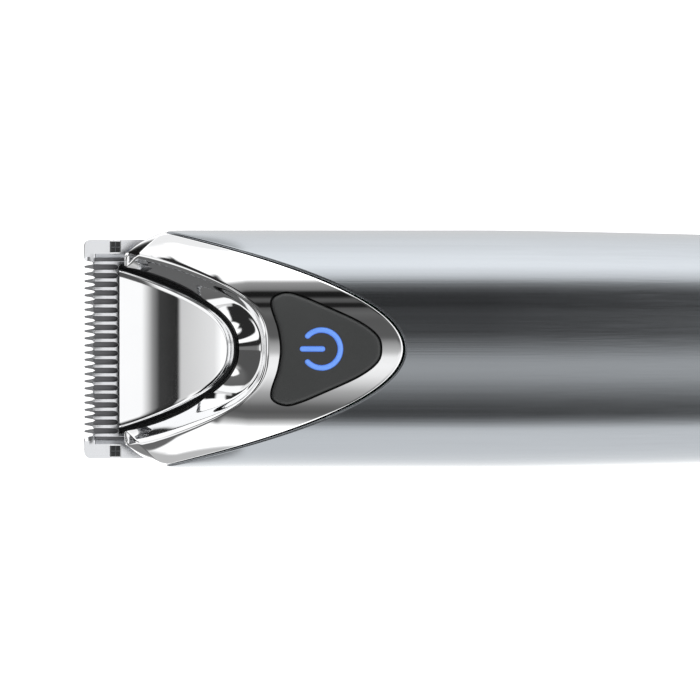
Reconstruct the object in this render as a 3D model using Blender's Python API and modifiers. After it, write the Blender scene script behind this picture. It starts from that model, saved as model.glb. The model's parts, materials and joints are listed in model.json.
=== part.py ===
"""A cordless beard trimmer, lying on its back, as an assembly of separate pieces.

+X runs from the blade tips to the end cap, +Y across the blade and +Z out of the front, where the
button is. The origin is on the surface it lies on, under the middle of its length. Lengths are in
millimetres here, and the helpers turn them into metres. A station is a distance from the blade tips
along +X.
"""

import math

import bmesh
import bpy
from mathutils import Matrix, Vector

MM = 0.001

# Driving dimensions
LENGTH = 158.0  # blade tips to end cap
HALF_WIDTH = 19.75
THICKNESS = 31.5
MID_HEIGHT = 14.5  # height at which the handle is widest
GAP = 0.3  # clearance between neighbouring pieces

SLEEVE_START, SLEEVE_END, SLEEVE_WALL = 14.0, 150.2, 1.0
BEZEL_START, BEZEL_TIP, BEZEL_WALL = 7.0, 53.4, 1.5
BEZEL_BLUNTNESS = 9.51  # the bezel's outline is the parabola y^2 = bluntness * (tip - station)
SPLIT_HEIGHT = 11.5  # lower edge of the bezel's arms

# The three nested curves of the scoop in front of the button: tip station, coefficient, power
CREASE = (30.9, 4.94, 0.373)
SEAM = (26.5, 3.78, 0.4366)
FLOOR_EDGE = (24.2, 3.51, 0.447)
SCOOP_RADIUS, SCOOP_STATION, SCOOP_HEIGHT = 38.4, -6.93, 46.38  # circle that the scoop's floor follows
CURL = 2.0  # how far the head cover curls up at its edge
COVER_START, COVER_WALL = 6.2, 1.0

BLADE_TILT = math.radians(10)
BLADE_HEIGHT = 7.5  # underside of the fixed blade at its tips
FIXED_HALF_WIDTH, FIXED_DEPTH, FIXED_THICK = 18.35, 13.8, 1.0
FIXED_PITCH, FIXED_TEETH, FIXED_ROOT = 1.2, 25, 1.9
MOVING_HALF_WIDTH, MOVING_THICK = 14.7, 0.8
MOVING_PITCH, MOVING_TEETH, MOVING_TIP, MOVING_ROOT = 1.445, 20, 1.3, 5.5
TANG_HALF_WIDTH, TANG_END = 6.5, 13.4
BLADE_SCREW = (11.0, 12.4)  # station along the blade, and distance from its middle
CATCH = (5.2, 17.15, 1.9, 2.1)  # a comb catch: station, distance from the middle, length, width

SHAFT_HEIGHT = 12.5
THROW = 1.2  # the eccentric's radius, half of the blade's stroke
PIN_RADIUS = 0.9
MOTOR_START, MOTOR_LENGTH, MOTOR_DIAMETER, MOTOR_FLATS = 31.0, 32.0, 20.4, 15.4
CELL_START, CELL_LENGTH, CELL_RADIUS, CELL_HEIGHT = 74.0, 65.0, 9.2, 13.2
BOARD_HEIGHT, BOARD_THICK = 24.0, 1.2
STRAP_STATION = 58.0
BUTTON_CENTRE = 40.0  # station of the power symbol's middle
SWITCH_STATION = 42.0
CAP_START, CAP_ROUNDING = 151.4, 2.6

COLOURS = {  # colour, roughness, metallic
    "brushed_steel": ((0.60, 0.62, 0.64), 0.30, 1.0),
    "bright_chrome": ((0.86, 0.87, 0.88), 0.05, 1.0),
    "blade_steel": ((0.66, 0.68, 0.70), 0.22, 1.0),
    "black_plastic": ((0.025, 0.026, 0.028), 0.45, 0.0),
    "grey_plastic": ((0.22, 0.23, 0.24), 0.50, 0.0),
    "white_acetal": ((0.82, 0.82, 0.79), 0.40, 0.0),
    "button_rubber": ((0.045, 0.046, 0.046), 0.60, 0.0),
    "blue_light": ((0.16, 0.36, 0.90), 0.35, 0.0),
    "green_board": ((0.03, 0.20, 0.09), 0.45, 0.0),
    "cell_wrap": ((0.10, 0.35, 0.55), 0.40, 0.0),
    "spring_steel": ((0.50, 0.51, 0.53), 0.30, 1.0),
    "motor_steel": ((0.55, 0.56, 0.57), 0.35, 1.0),
    "copper": ((0.72, 0.36, 0.18), 0.30, 1.0),
    "bronze": ((0.55, 0.40, 0.20), 0.40, 1.0),
    "nickel": ((0.68, 0.66, 0.60), 0.28, 1.0),
    "magnet": ((0.12, 0.12, 0.13), 0.60, 0.0),
    "red_wire": ((0.60, 0.04, 0.03), 0.45, 0.0),
    "seal_rubber": ((0.03, 0.03, 0.03), 0.75, 0.0),
}


# ---------------------------------------------------------------- the handle's skin
def half_width(station):
    if station < 16:
        return HALF_WIDTH - 4.0 * ((16 - station) / 9) ** 2
    if station > 68:
        return HALF_WIDTH - 2.35 * ((station - 68) / 90) ** 1.3
    return HALF_WIDTH


def crown(station):
    """Height of the front of the handle on its middle line."""
    if station < 28:
        return THICKNESS - 15.0 * ((28 - station) / 21) ** 1.6
    if station > 68:
        return THICKNESS - 3.0 * ((station - 68) / 90) ** 1.3
    return THICKNESS


def back(station):
    """Height of the flat back, which rises under the blade."""
    return 5.0 * ((22 - station) / 14) ** 1.5 if station < 22 else 0.0


def end_rounding(station):
    """How far the rounded end of the cap has drawn in."""
    into = max(0.0, station - (LENGTH - CAP_ROUNDING))
    return CAP_ROUNDING - math.sqrt(CAP_ROUNDING**2 - into**2)


FRONT_POWER, BACK_POWER, BACK_OVERSHOOT = 2.2, 2.6, 0.8


def section_point(station, angle, inset):
    """A point (y, z) of the section at a station. Angle 0 is at +Y, 90 degrees at the front."""
    inset = inset + end_rounding(station)
    across, up = math.cos(angle), math.sin(angle)
    if up >= 0:
        power, reach = FRONT_POWER, crown(station) - MID_HEIGHT - inset
    else:
        power, reach = BACK_POWER, MID_HEIGHT - back(station) + BACK_OVERSHOOT - inset
    y = (half_width(station) - inset) * math.copysign(abs(across) ** (2 / power), across)
    z = MID_HEIGHT + reach * math.copysign(abs(up) ** (2 / power), up)
    return y, max(z, back(station) + inset)


def skin_height(station, y):
    """Height of the front skin above a point of the plan."""
    share = min(1.0, abs(y) / half_width(station))
    return MID_HEIGHT + (crown(station) - MID_HEIGHT) * (1 - share**FRONT_POWER) ** (1 / FRONT_POWER)


# ---------------------------------------------------------------- the scoop's curves
def curve_station(curve, y):
    tip, coefficient, power = curve
    return tip - (abs(y) / coefficient) ** (1 / power)


def curve_reach(curve, station):
    tip, coefficient, power = curve
    return coefficient * (tip - station) ** power


def floor_height(station, below=0.0):
    return SCOOP_HEIGHT - math.sqrt((SCOOP_RADIUS + below) ** 2 - (station - SCOOP_STATION) ** 2)


# ---------------------------------------------------------------- modelling helpers
def clear_scene():
    for old in list(bpy.data.objects):
        bpy.data.objects.remove(old, do_unlink=True)


def collection(name):
    made = bpy.data.collections.new(name)
    bpy.context.scene.collection.children.link(made)
    return made


clear_scene()
PARTS = collection("beard_trimmer")
CUTTERS = collection("cutters")
MATERIALS = {}


def material(name):
    if name not in MATERIALS:
        made = bpy.data.materials.new(name)
        made.use_nodes = True
        shader = made.node_tree.nodes["Principled BSDF"]
        colour, roughness, metallic = COLOURS[name]
        shader.inputs["Base Color"].default_value = (*colour, 1)
        shader.inputs["Roughness"].default_value = roughness
        shader.inputs["Metallic"].default_value = metallic
        MATERIALS[name] = made
    return MATERIALS[name]


def at(station):
    """X in millimetres of a station."""
    return station - LENGTH / 2


def blade_frame():
    """The empty that the blades hang from: origin at the tips, X back along the tilted plate."""
    frame = bpy.data.objects.new("blade_frame", None)
    frame.location = (at(0) * MM, 0, BLADE_HEIGHT * MM)
    frame.rotation_euler = (0, BLADE_TILT, 0)
    PARTS.objects.link(frame)
    return frame


def add(name, mesh, finish=None, smooth=35):
    """An object from a mesh in millimetres. With no finish it is a cutter."""
    mesh.transform(Matrix.Scale(MM, 4))
    obj = bpy.data.objects.new(name, mesh)
    if finish:
        mesh.materials.append(material(finish))
        PARTS.objects.link(obj)
    else:
        obj.hide_render = True
        obj.display_type = "WIRE"
        CUTTERS.objects.link(obj)
    mesh.shade_smooth()
    mesh.set_sharp_from_angle(angle=math.radians(smooth))
    return obj


def mesh_from(bm, name):
    bmesh.ops.recalc_face_normals(bm, faces=bm.faces[:])
    mesh = bpy.data.meshes.new(name)
    bm.to_mesh(mesh)
    bm.free()
    return mesh


def boolean(target, other, operation):
    modifier = target.modifiers.new(operation.lower() + "_" + other.name, "BOOLEAN")
    modifier.operation = operation
    modifier.object = other
    return target


def cut(target, *others):
    for other in others:
        boolean(target, other, "DIFFERENCE")
    return target


def join(target, *others):
    for other in others:
        boolean(target, other, "UNION")
    return target


def keep(target, *others):
    for other in others:
        boolean(target, other, "INTERSECT")
    return target


def hang(frame, *objects):
    for obj in objects:
        obj.parent = frame


def box(name, low, high, finish=None, bevel=0.0):
    bm = bmesh.new()
    bmesh.ops.create_cube(bm, size=1.0)
    size = [h - l for l, h in zip(low, high)]
    middle = [(h + l) / 2 for l, h in zip(low, high)]
    bmesh.ops.scale(bm, vec=size, verts=bm.verts)
    bmesh.ops.translate(bm, vec=middle, verts=bm.verts)
    obj = add(name, mesh_from(bm, name), finish)
    if bevel:
        rounding = obj.modifiers.new("rounding", "BEVEL")
        rounding.width = bevel * MM
        rounding.segments = 2
    return obj


AXES = {"X": Matrix.Rotation(math.pi / 2, 4, "Y"), "Y": Matrix.Rotation(math.pi / 2, 4, "X"),
        "Z": Matrix()}


def cylinder(name, start, radius, length, finish=None, axis="X", sides=20, end_radius=None):
    """A cylinder or cone that runs from the middle of its first end along an axis."""
    bm = bmesh.new()
    end = radius if end_radius is None else end_radius
    bmesh.ops.create_cone(bm, cap_ends=True, segments=sides, radius1=radius, radius2=end, depth=length)
    bmesh.ops.transform(bm, matrix=Matrix.Translation((0, 0, length / 2)), verts=bm.verts)
    turn = AXES[axis] if axis != "Y" else Matrix.Rotation(-math.pi / 2, 4, "X")
    bmesh.ops.transform(bm, matrix=Matrix.Translation(start) @ turn, verts=bm.verts)
    return add(name, mesh_from(bm, name), finish)


def ringed_body(name, rings, finish=None, smooth=35):
    """A closed body from rings of points, all of one count: a drum whose rings take their places."""
    sides = len(rings[0])
    bm = bmesh.new()
    bmesh.ops.create_cone(bm, cap_ends=True, segments=sides, radius1=1, radius2=1, depth=2)
    lengthwise = [e for e in bm.edges if abs(e.verts[0].co.z - e.verts[1].co.z) > 1]
    if len(rings) > 2:
        bmesh.ops.subdivide_edges(bm, edges=lengthwise, cuts=len(rings) - 2)
    for vert in bm.verts:
        ring = round((vert.co.z + 1) / 2 * (len(rings) - 1))
        place = round(math.atan2(vert.co.y, vert.co.x) / (2 * math.pi) * sides) % sides
        vert.co = rings[ring][place]
    bmesh.ops.remove_doubles(bm, verts=bm.verts, dist=1e-4)
    return add(name, mesh_from(bm, name), finish, smooth)


def skin_body(name, stations, inset=0.0, finish=None, sides=48, straight_from=LENGTH):
    """A closed body that follows the handle's skin through the stations, or runs straight on."""
    angles = [2 * math.pi * (i + 0.5) / sides for i in range(sides)]
    rings = [[(at(s), *section_point(min(s, straight_from), angle, inset)) for angle in angles]
             for s in stations]
    return ringed_body(name, rings, finish)


def outline_body(name, outline, low, high, finish=None, plane="XY"):
    """A flat closed outline as a filled 2D curve with thickness, made a mesh so that it can cut or be cut.

    In plane XY the outline is (x, y) and the thickness runs along Z; in XZ they are (x, z) and Y."""
    curve = bpy.data.curves.new(name, "CURVE")
    curve.dimensions = "2D"
    curve.fill_mode = "BOTH"
    curve.extrude = (high - low) / 2
    spline = curve.splines.new("POLY")
    spline.points.add(len(outline) - 1)
    for point, (first, second) in zip(spline.points, outline):
        point.co = (first, second, 0, 1)
    spline.use_cyclic_u = True
    drawn = bpy.data.objects.new(name + "_outline", curve)
    bpy.context.scene.collection.objects.link(drawn)
    bpy.context.view_layer.update()
    mesh = bpy.data.meshes.new_from_object(drawn.evaluated_get(bpy.context.evaluated_depsgraph_get()))
    bpy.data.objects.remove(drawn)
    bm = bmesh.new()
    bm.from_mesh(mesh)
    bmesh.ops.remove_doubles(bm, verts=bm.verts, dist=1e-4)
    if plane == "XY":
        place = Matrix.Translation((0, 0, (low + high) / 2))
    else:
        place = Matrix.Translation((0, (low + high) / 2, 0)) @ Matrix.Rotation(math.pi / 2, 4, "X")
    bmesh.ops.transform(bm, matrix=place, verts=bm.verts)
    return add(name, mesh_from(bm, name), finish)


def wire(name, points, radius, finish, smooth_resolution=2):
    """A round wire through points in millimetres, as a curve with a bevel and filled caps."""
    curve = bpy.data.curves.new(name, "CURVE")
    curve.dimensions = "3D"
    curve.bevel_depth = radius * MM
    curve.bevel_resolution = smooth_resolution
    curve.use_fill_caps = True
    spline = curve.splines.new("POLY")
    spline.points.add(len(points) - 1)
    for point, co in zip(spline.points, points):
        point.co = (*(c * MM for c in co), 1)
    curve.materials.append(material(finish))
    obj = bpy.data.objects.new(name, curve)
    PARTS.objects.link(obj)
    return obj


def sheet_between(name, rows, columns, place, thickness, finish=None):
    """A grid placed by a function of (row, column), both 0 to 1, then thickened straight down."""
    bm = bmesh.new()
    bmesh.ops.create_grid(bm, x_segments=rows, y_segments=columns, size=0.5)
    for vert in bm.verts:
        vert.co = place(vert.co.x + 0.5, vert.co.y + 0.5)
    bmesh.ops.remove_doubles(bm, verts=bm.verts, dist=1e-3)
    under = bmesh.ops.extrude_face_region(bm, geom=bm.faces[:])["geom"]
    moved = [item for item in under if isinstance(item, bmesh.types.BMVert)]
    bmesh.ops.translate(bm, vec=(0, 0, -thickness), verts=moved)
    return add(name, mesh_from(bm, name), finish, smooth=50)


def spread(start, end, count):
    return [start + (end - start) * i / (count - 1) for i in range(count)]


def mirrored(points):
    """A half outline from the middle line outwards, completed on the other side."""
    return [(x, -y) for x, y in reversed(points)] + [p for p in points if abs(p[1]) > 1e-9]


def smooth_loop(points, steps):
    """A closed Catmull-Rom curve through a few points."""
    made = []
    count = len(points)
    for i in range(count):
        a, b, c, d = (Vector(points[(i + k - 1) % count]) for k in range(4))
        for step in range(steps):
            t = step / steps
            made.append(tuple(0.5 * (2 * b + (c - a) * t + (2 * a - 5 * b + 4 * c - d) * t**2
                                     + (3 * b - a - 3 * c + d) * t**3)))
    return made


def grown(outline, distance):
    """A closed outline, anticlockwise, moved outwards along its normals."""
    made = []
    for i, here in enumerate(outline):
        before, after = outline[i - 1], outline[(i + 1) % len(outline)]
        along = Vector((after[0] - before[0], after[1] - before[1])).normalized()
        made.append((here[0] + along.y * distance, here[1] - along.x * distance))
    return made


# ---------------------------------------------------------------- outlines in plan
def bezel_outline(margin):
    """The bezel's pointed outline, open towards the blade, with a margin all round."""
    reach = HALF_WIDTH + 5
    half = [(at(BEZEL_TIP + margin), 0.0)]
    for y in spread(1.5, 18.6, 14):
        slope = 2 * y / BEZEL_BLUNTNESS
        normal = Vector((1, slope)).normalized()
        x = at(BEZEL_TIP - y**2 / BEZEL_BLUNTNESS)
        half.append((x + normal.x * margin, y + normal.y * margin))
    half.append((at(SLEEVE_START) + margin, half[-1][1] + 0.55))
    half.append((at(SLEEVE_START) + margin, reach))
    half.append((at(BEZEL_START) - 5, reach))
    return mirrored(half)


def scoop_outline(curve, start, margin, count=18):
    """The area inside one of the scoop's curves, open towards the blade."""
    tip, coefficient, power = curve
    end = curve_reach(curve, start)
    half = [(at(tip + margin), 0.0)]
    for y in spread(end / count, end, count):
        slope = (abs(y) / coefficient) ** (1 / power - 1) / (power * coefficient)
        normal = Vector((1, slope)).normalized()
        half.append((at(curve_station(curve, y)) + normal.x * margin, y + normal.y * margin))
    half.append((at(start) - 6, half[-1][1]))
    return mirrored(half)


BUTTON_POINTS = [  # (station, y) of the upper half, from the round nose to the hollow back edge
    (49.7, 0.0), (49.0, 2.2), (45.9, 4.5), (40.2, 7.1), (36.6, 8.6), (34.2, 9.15), (32.2, 8.4),
    (31.9, 6.9), (33.0, 3.4),
]


def button_outline(margin):
    upper = [(at(station), y) for station, y in BUTTON_POINTS]
    middle = [(at(33.45), 0.0)]
    lower = [(x, -y) for x, y in reversed(upper[1:])]
    return grown(smooth_loop(upper + middle + lower, 3), margin)


# ---------------------------------------------------------------- outer pieces of the handle
def build_sleeve():
    stations = [SLEEVE_START, 16.5, 19, 22, 28, 68, 85, 105, 128, SLEEVE_END]
    sleeve = skin_body("body_sleeve", stations, finish="brushed_steel", sides=56)
    bore = skin_body("sleeve_bore", [13] + stations[1:-1] + [151], SLEEVE_WALL, sides=56)
    opening = outline_body("sleeve_opening", bezel_outline(GAP), SPLIT_HEIGHT - GAP, THICKNESS + 5)
    return cut(sleeve, bore, opening)


def build_bezel():
    hood = [BEZEL_START, 8.5, 10, 12, 14, 16, 18.5, 21, 24, 28, 40, 55]
    bezel = skin_body("front_bezel", hood, finish="bright_chrome", sides=56)
    hollow = skin_body("bezel_hollow", [6] + hood[1:-1] + [56], BEZEL_WALL, sides=56)
    band = bezel_outline(-0.02) + list(reversed(scoop_outline(CREASE, BEZEL_START, 0.4)))
    area = outline_body("bezel_area", band, SPLIT_HEIGHT, THICKNESS + 5)
    button_hole = outline_body("button_hole", button_outline(GAP), 20, THICKNESS + 7)

    def wall_point(row, column):
        across = 2 * column - 1
        share = min(1.0, row * 1.25)  # the last fifth of the rows runs on under the skin
        beyond = max(0.0, row - 0.8) * 5
        ends = [curve_reach(curve, BEZEL_START) for curve in (SEAM, CREASE)]
        y = across * (ends[0] + (ends[1] - ends[0]) * share)
        station = curve_station(SEAM, y) * (1 - share) + curve_station(CREASE, y) * share
        station = max(BEZEL_START, station)
        low = floor_height(min(station, SEAM[0])) + CURL
        high = skin_height(station, y) - 0.25
        slope = (abs(y) / CREASE[1]) ** (1 / CREASE[2] - 1) / (CREASE[2] * CREASE[1])
        outwards = Vector((1, math.copysign(slope, y))).normalized() * 1.1 * beyond
        x = max(at(BEZEL_START), at(station) + outwards.x)
        return Vector((x, y + outwards.y, low + (high - low) * share - 0.35 * beyond))

    wall = sheet_between("bezel_wall", 5, 30, wall_point, 1.5)
    return cut(join(keep(cut(bezel, hollow), area), wall), button_hole)


def build_end_cap():
    flange = [CAP_START, 153.5, LENGTH - CAP_ROUNDING, 156.6, 157.4, 157.85, LENGTH]
    cap = skin_body("end_cap", flange, finish="black_plastic", sides=48)
    spigot = skin_body("cap_spigot", [145.5, CAP_START + 0.6], SLEEVE_WALL + GAP, sides=48)
    hollow = skin_body("cap_hollow", [144, 155.2], SLEEVE_WALL + GAP + 1.4, sides=32)
    recess = cylinder("charger_recess", (at(150), 0, MID_HEIGHT), 4.2, 10, sides=24)
    holes = [cylinder(f"cap_screw_hole_{side}", (at(150), y, MID_HEIGHT), 1.9, 10, sides=14)
             for side, y in SIDES]
    cut(join(cap, spigot), hollow, recess, *holes)
    seal = skin_body("cap_seal", [150.5, 151.1], 0.12, "seal_rubber", sides=48)
    cut(seal, skin_body("seal_bore", [150, 151.6], SLEEVE_WALL + 0.1, sides=48))
    for side, y in SIDES:
        screw = cylinder(f"cap_screw_{side}", (at(153.4), y, MID_HEIGHT), 1.5, 3.2, "spring_steel",
                         sides=14)
        shank = cylinder(f"cap_screw_shank_{side}", (at(148), y, MID_HEIGHT), 0.8, 6, sides=10)
        cut(join(screw, shank), cross_recess(f"cap_screw_{side}", (at(156.6), y, MID_HEIGHT)))
    socket = cylinder("charge_socket", (at(142.5), 0, MID_HEIGHT), 4.4, 8, "black_plastic", sides=20)
    mouth = cylinder("socket_mouth", (at(144.5), 0, MID_HEIGHT), 2.9, 8, sides=20)
    cut(socket, mouth)
    cylinder("charge_pin", (at(144.9), 0, MID_HEIGHT), 0.9, 5.2, "nickel", sides=12)


def cross_recess(name, end):
    """A cross-shaped driver recess in a screw head that faces +X."""
    x, y, z = end
    upright = box(name + "_slot", (x - 0.9, y - 0.25, z - 1.0), (x + 1, y + 0.25, z + 1.0))
    return join(upright, box(name + "_cross", (x - 0.9, y - 1.0, z - 0.25), (x + 1, y + 1.0, z + 0.25)))


SIDES = (("left", -11.5), ("right", 11.5))


# ---------------------------------------------------------------- the button and its switch
def build_button():
    def ring(margin, depth, share=1.0):
        """The button's outline at a depth under the skin; share shrinks it towards the middle."""
        middle = at(BUTTON_CENTRE)
        points = [(middle + (x - middle) * share, y * share) for x, y in button_outline(margin)]
        return [(x, y, skin_height(x + LENGTH / 2, y) - depth) for x, y in points]

    under = [ring(0.9, 2.7, 0.04), ring(0.9, 2.7, 0.5), ring(0.9, 2.7)]
    side = [ring(0.9, 1.9), ring(0.0, 1.9), ring(0.0, 0.15), ring(-0.4, -0.15)]
    top = [ring(-0.4, -0.15, 0.7), ring(-0.4, -0.15, 0.4), ring(-0.4, -0.15, 0.04)]
    button = ringed_body("power_button", under + side + top, "button_rubber", smooth=30)
    pocket = cylinder("light_pocket", (at(BUTTON_CENTRE), 0, 26), 4.6, 4.2, axis="Z", sides=24)
    cut(button, pocket, *symbol("symbol_slot", 0.15, 29, 34))
    guide = cylinder("power_light_guide", (at(BUTTON_CENTRE), 0, 29.0), 4.3, 0.9, "blue_light",
                     axis="Z", sides=24)
    stem = cylinder("button_stem", (at(SWITCH_STATION), 0, 28.5), 1.4, 1.2, axis="Z", sides=12)
    join(guide, *symbol("symbol", 0.0, 29.4, THICKNESS - 0.05), stem)


def symbol(name, margin, low, high):
    """The ring and the bar of a plain power symbol, the ring open where the bar stands."""
    outer, inner = 3.6 + margin, 2.55 - margin
    opening = math.radians(38) - margin / 3
    turn = spread(math.pi - opening, -math.pi + opening, 21)
    arc = [(math.cos(a), math.sin(a)) for a in turn]
    ring = [(at(BUTTON_CENTRE) + outer * x, outer * y) for x, y in arc]
    ring += [(at(BUTTON_CENTRE) + inner * x, inner * y) for x, y in reversed(arc)]
    bar_half = 0.48 + margin
    bar_low = (at(BUTTON_CENTRE) - 3.6 - margin, -bar_half, low)
    bar_high = (at(BUTTON_CENTRE) + 0.5 + margin, bar_half, high)
    return [outline_body(name + "_ring", ring, low, high), box(name + "_bar", bar_low, bar_high)]


def build_switch():
    x = at(SWITCH_STATION)
    base = BOARD_HEIGHT + BOARD_THICK + GAP
    switch = box("tact_switch", (x - 3, -3, base), (x + 3, 3, 27.4), "black_plastic")
    cut(switch, cylinder("plunger_bore", (x, 0, base - 1), 1.9, 4, axis="Z", sides=16))
    cylinder("switch_plunger", (x, 0, 26.1), 1.6, 28.2 - 26.1, "white_acetal", axis="Z", sides=16)


# ---------------------------------------------------------------- the blade head
def tooth_row(count, pitch, tip, root, half_gap, shoulder):
    """(x, y) points of a comb's edge, from -Y to +Y: each gap is a slot with a pointed root."""
    points = []
    first = -pitch * (count - 1) / 2
    for i in range(count):
        middle = first + i * pitch
        points += [(tip, middle - half_gap), (shoulder, middle - half_gap), (root, middle - 0.12)]
        points += [(root, middle + 0.12), (shoulder, middle + half_gap), (tip, middle + half_gap)]
    return points


def build_blades(frame):
    gaps = tooth_row(FIXED_TEETH, FIXED_PITCH, 0.0, FIXED_ROOT, 0.36, 1.4)
    edge = FIXED_HALF_WIDTH
    comb = [(0.0, -edge + 0.8)] + gaps + [(0.0, edge - 0.8), (0.8, edge)]
    comb += [(FIXED_DEPTH - 1, edge), (FIXED_DEPTH, edge - 1), (FIXED_DEPTH, -edge + 1),
             (FIXED_DEPTH - 1, -edge)]
    comb += [(0.8, -edge)]
    fixed = outline_body("fixed_blade", comb, 0, FIXED_THICK, "blade_steel")
    station, side, length, width = CATCH
    for name, sign in (("left", -1), ("right", 1)):
        hole = cylinder(f"blade_screw_hole_{name}", (BLADE_SCREW[0], sign * BLADE_SCREW[1], -2), 1.15,
                        5, axis="Z", sides=14)
        low = (station - length / 2, sign * side - width / 2, -1)
        high = (station + length / 2, sign * side + width / 2, 3)
        window = box(f"catch_window_{name}", low, high)
        cut(fixed, hole, window)
        hang(frame, hole, window)
        inner_low = (low[0] + 0.12, low[1] + 0.12, -0.2)
        inner_high = (high[0] - 0.12, high[1] - 0.12, FIXED_THICK + 0.15)
        catch = box(f"comb_catch_{name}", inner_low, inner_high, "black_plastic")
        groove = box(f"catch_groove_{name}", (station - 0.1, low[1] - 1, FIXED_THICK),
                     (station + 0.1, high[1] + 1, 3))
        cut(catch, groove)
        hang(frame, catch, groove)
    bottom = FIXED_THICK + 0.15
    gaps = tooth_row(MOVING_TEETH, MOVING_PITCH, MOVING_TIP, MOVING_ROOT, 0.45, 4.2)
    wide, narrow = MOVING_HALF_WIDTH, TANG_HALF_WIDTH
    cutter = [(MOVING_TIP, -wide)] + gaps + [(MOVING_TIP, wide), (7.2, wide), (7.2, narrow)]
    cutter += [(TANG_END, narrow), (TANG_END, -narrow), (7.2, -narrow), (7.2, -wide)]
    moving = outline_body("moving_blade", cutter, bottom, bottom + MOVING_THICK, "blade_steel")
    hang(frame, fixed, moving)


def build_blade_guide(frame):
    """The yoke that the pin drives: a foot on the moving blade, an arm and a slotted upright."""
    foot_low = FIXED_THICK + 0.15 + MOVING_THICK + 0.15
    foot = box("guide_foot", (9.3, -6.6, foot_low), (13.2, 6.6, foot_low + 0.8))
    hang(frame, foot)
    guide = box("blade_guide", (at(11.5), -3.6, 7.7), (at(20.5), 3.6, 9.3), "white_acetal")
    upright = box("guide_upright", (at(18.0), -3.6, 8.2), (at(20.5), 3.6, 15.0))
    half_slot = PIN_RADIUS + GAP
    slot = box("guide_slot", (at(17), -half_slot, SHAFT_HEIGHT - THROW - half_slot),
               (at(22), half_slot, 16))
    return cut(join(guide, foot, upright), slot)


def build_carrier(frame):
    """The black carrier that the blades are screwed to and that plugs into the handle."""
    body = [8.0, 10, 12, SLEEVE_START, 21.5]
    inset = BEZEL_WALL + GAP + 0.1
    carrier = skin_body("head_carrier", body, inset, "black_plastic", sides=40,
                        straight_from=SLEEVE_START)
    low = box("carrier_low", (at(5), -25, 0), (at(23), 25, SPLIT_HEIGHT - GAP))
    high = outline_body("carrier_high", scoop_outline(SEAM, 7.0, -2 * GAP), SPLIT_HEIGHT - 2, 30)
    keep(carrier, join(low, high))
    cheeks = skin_body("carrier_cheeks", [8.3, 10.1, 11.9, 13.6], 0.0, sides=44)
    keep(cheeks, box("cheek_band", (at(0), -30, 5), (at(20), 30, SPLIT_HEIGHT - GAP - 0.05)))
    join(carrier, cheeks)
    # the top follows the scoop, just under the cover
    top = [(at(station), floor_height(station, COVER_WALL + GAP)) for station in spread(5, 26, 12)]
    over = outline_body("carrier_top", top + [(at(26), 40), (at(5), 40)], -25, 25, plane="XZ")
    under = box("carrier_seat", (-4, -25.1, -12), (14.1, 25.3, FIXED_THICK + 0.25))
    hang(frame, under)
    channel_top = [(at(station), floor_height(station, COVER_WALL + GAP + 1.1))
                   for station in spread(6, 22.5, 10)]
    channel = outline_body("blade_channel", channel_top + [(at(22.5), 5), (at(6), 3)], -8.2, 8.2,
                           plane="XZ")
    notch = box("guide_notch", (at(16.8), -5.3, 4), (at(25), 5.3, 30))
    cut(carrier, over, under, channel, notch)
    for side, sign in (("left", -1), ("right", 1)):
        hole = cylinder(f"carrier_screw_hole_{side}", (BLADE_SCREW[0], sign * BLADE_SCREW[1], 0), 1.1,
                        4.6, axis="Z", sides=12)
        hang(frame, hole)
        cut(carrier, hole)
        screw = cylinder(f"blade_screw_{side}", (BLADE_SCREW[0], sign * BLADE_SCREW[1], -1.1), 1.9,
                         0.85, "spring_steel", axis="Z", sides=16)
        shank = cylinder(f"blade_screw_shank_{side}", (BLADE_SCREW[0], sign * BLADE_SCREW[1], -0.5),
                         0.8, 4.6, axis="Z", sides=10)
        slot = box(f"blade_screw_slot_{side}", (BLADE_SCREW[0] - 2.5, sign * BLADE_SCREW[1] - 0.25, -2),
                   (BLADE_SCREW[0] + 2.5, sign * BLADE_SCREW[1] + 0.25, -0.7))
        hang(frame, screw, shank, slot)
        cut(join(screw, shank), slot)
        arm_side = sign * 12.4
        arm = box(f"snap_arm_{side}", (at(20), arm_side - 1.3, 8), (at(26.4), arm_side + 1.3, 9.4))
        hook = box(f"snap_hook_{side}", (at(25.3), arm_side - 1.3, 8.6),
                   (at(26.6), arm_side + 1.3, 10.1))
        join(carrier, arm, hook)


def build_cover():
    """The polished scoop: a flat-bottomed dish with its edge curled up to meet the bezel."""
    flat_rows = 0.55

    def point(row, column):
        across = 2 * column - 1
        ends = [curve_reach(curve, COVER_START) for curve in (FLOOR_EDGE, SEAM)]
        if row <= flat_rows:
            y = across * ends[0]
            station = COVER_START + (curve_station(FLOOR_EDGE, y) - COVER_START) * row / flat_rows
            share = 0.0
        else:
            share = (row - flat_rows) / (1 - flat_rows)
            y = across * (ends[0] + (ends[1] - ends[0]) * share)
            station = curve_station(FLOOR_EDGE, y) * (1 - share) + curve_station(SEAM, y) * share
        inwards = 1 - GAP * share / max(abs(y), 2.0)
        station = max(COVER_START, station - GAP * share * max(0.0, 1 - abs(y) / 8))
        return Vector((at(station), y * inwards, floor_height(station) + CURL * share**2))

    return sheet_between("head_cover", 9, 30, point, COVER_WALL, "bright_chrome")


def build_spring():
    """A wire staple across the channel: its two feet press the guide's foot down on the blades."""
    half = [(12.2, 5.5, 9.05), (13.6, 5.9, 9.3), (14.8, 6.8, 9.8), (15.3, 7.2, 10.4), (15.5, 6.4, 10.9)]
    points = [(at(s), -y, z) for s, y, z in half] + [(at(s), y, z) for s, y, z in reversed(half)]
    wire("tension_spring", points, 0.35, "spring_steel")


def build_head(frame):
    build_blades(frame)
    build_blade_guide(frame)
    build_carrier(frame)
    build_cover()
    build_spring()


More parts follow.
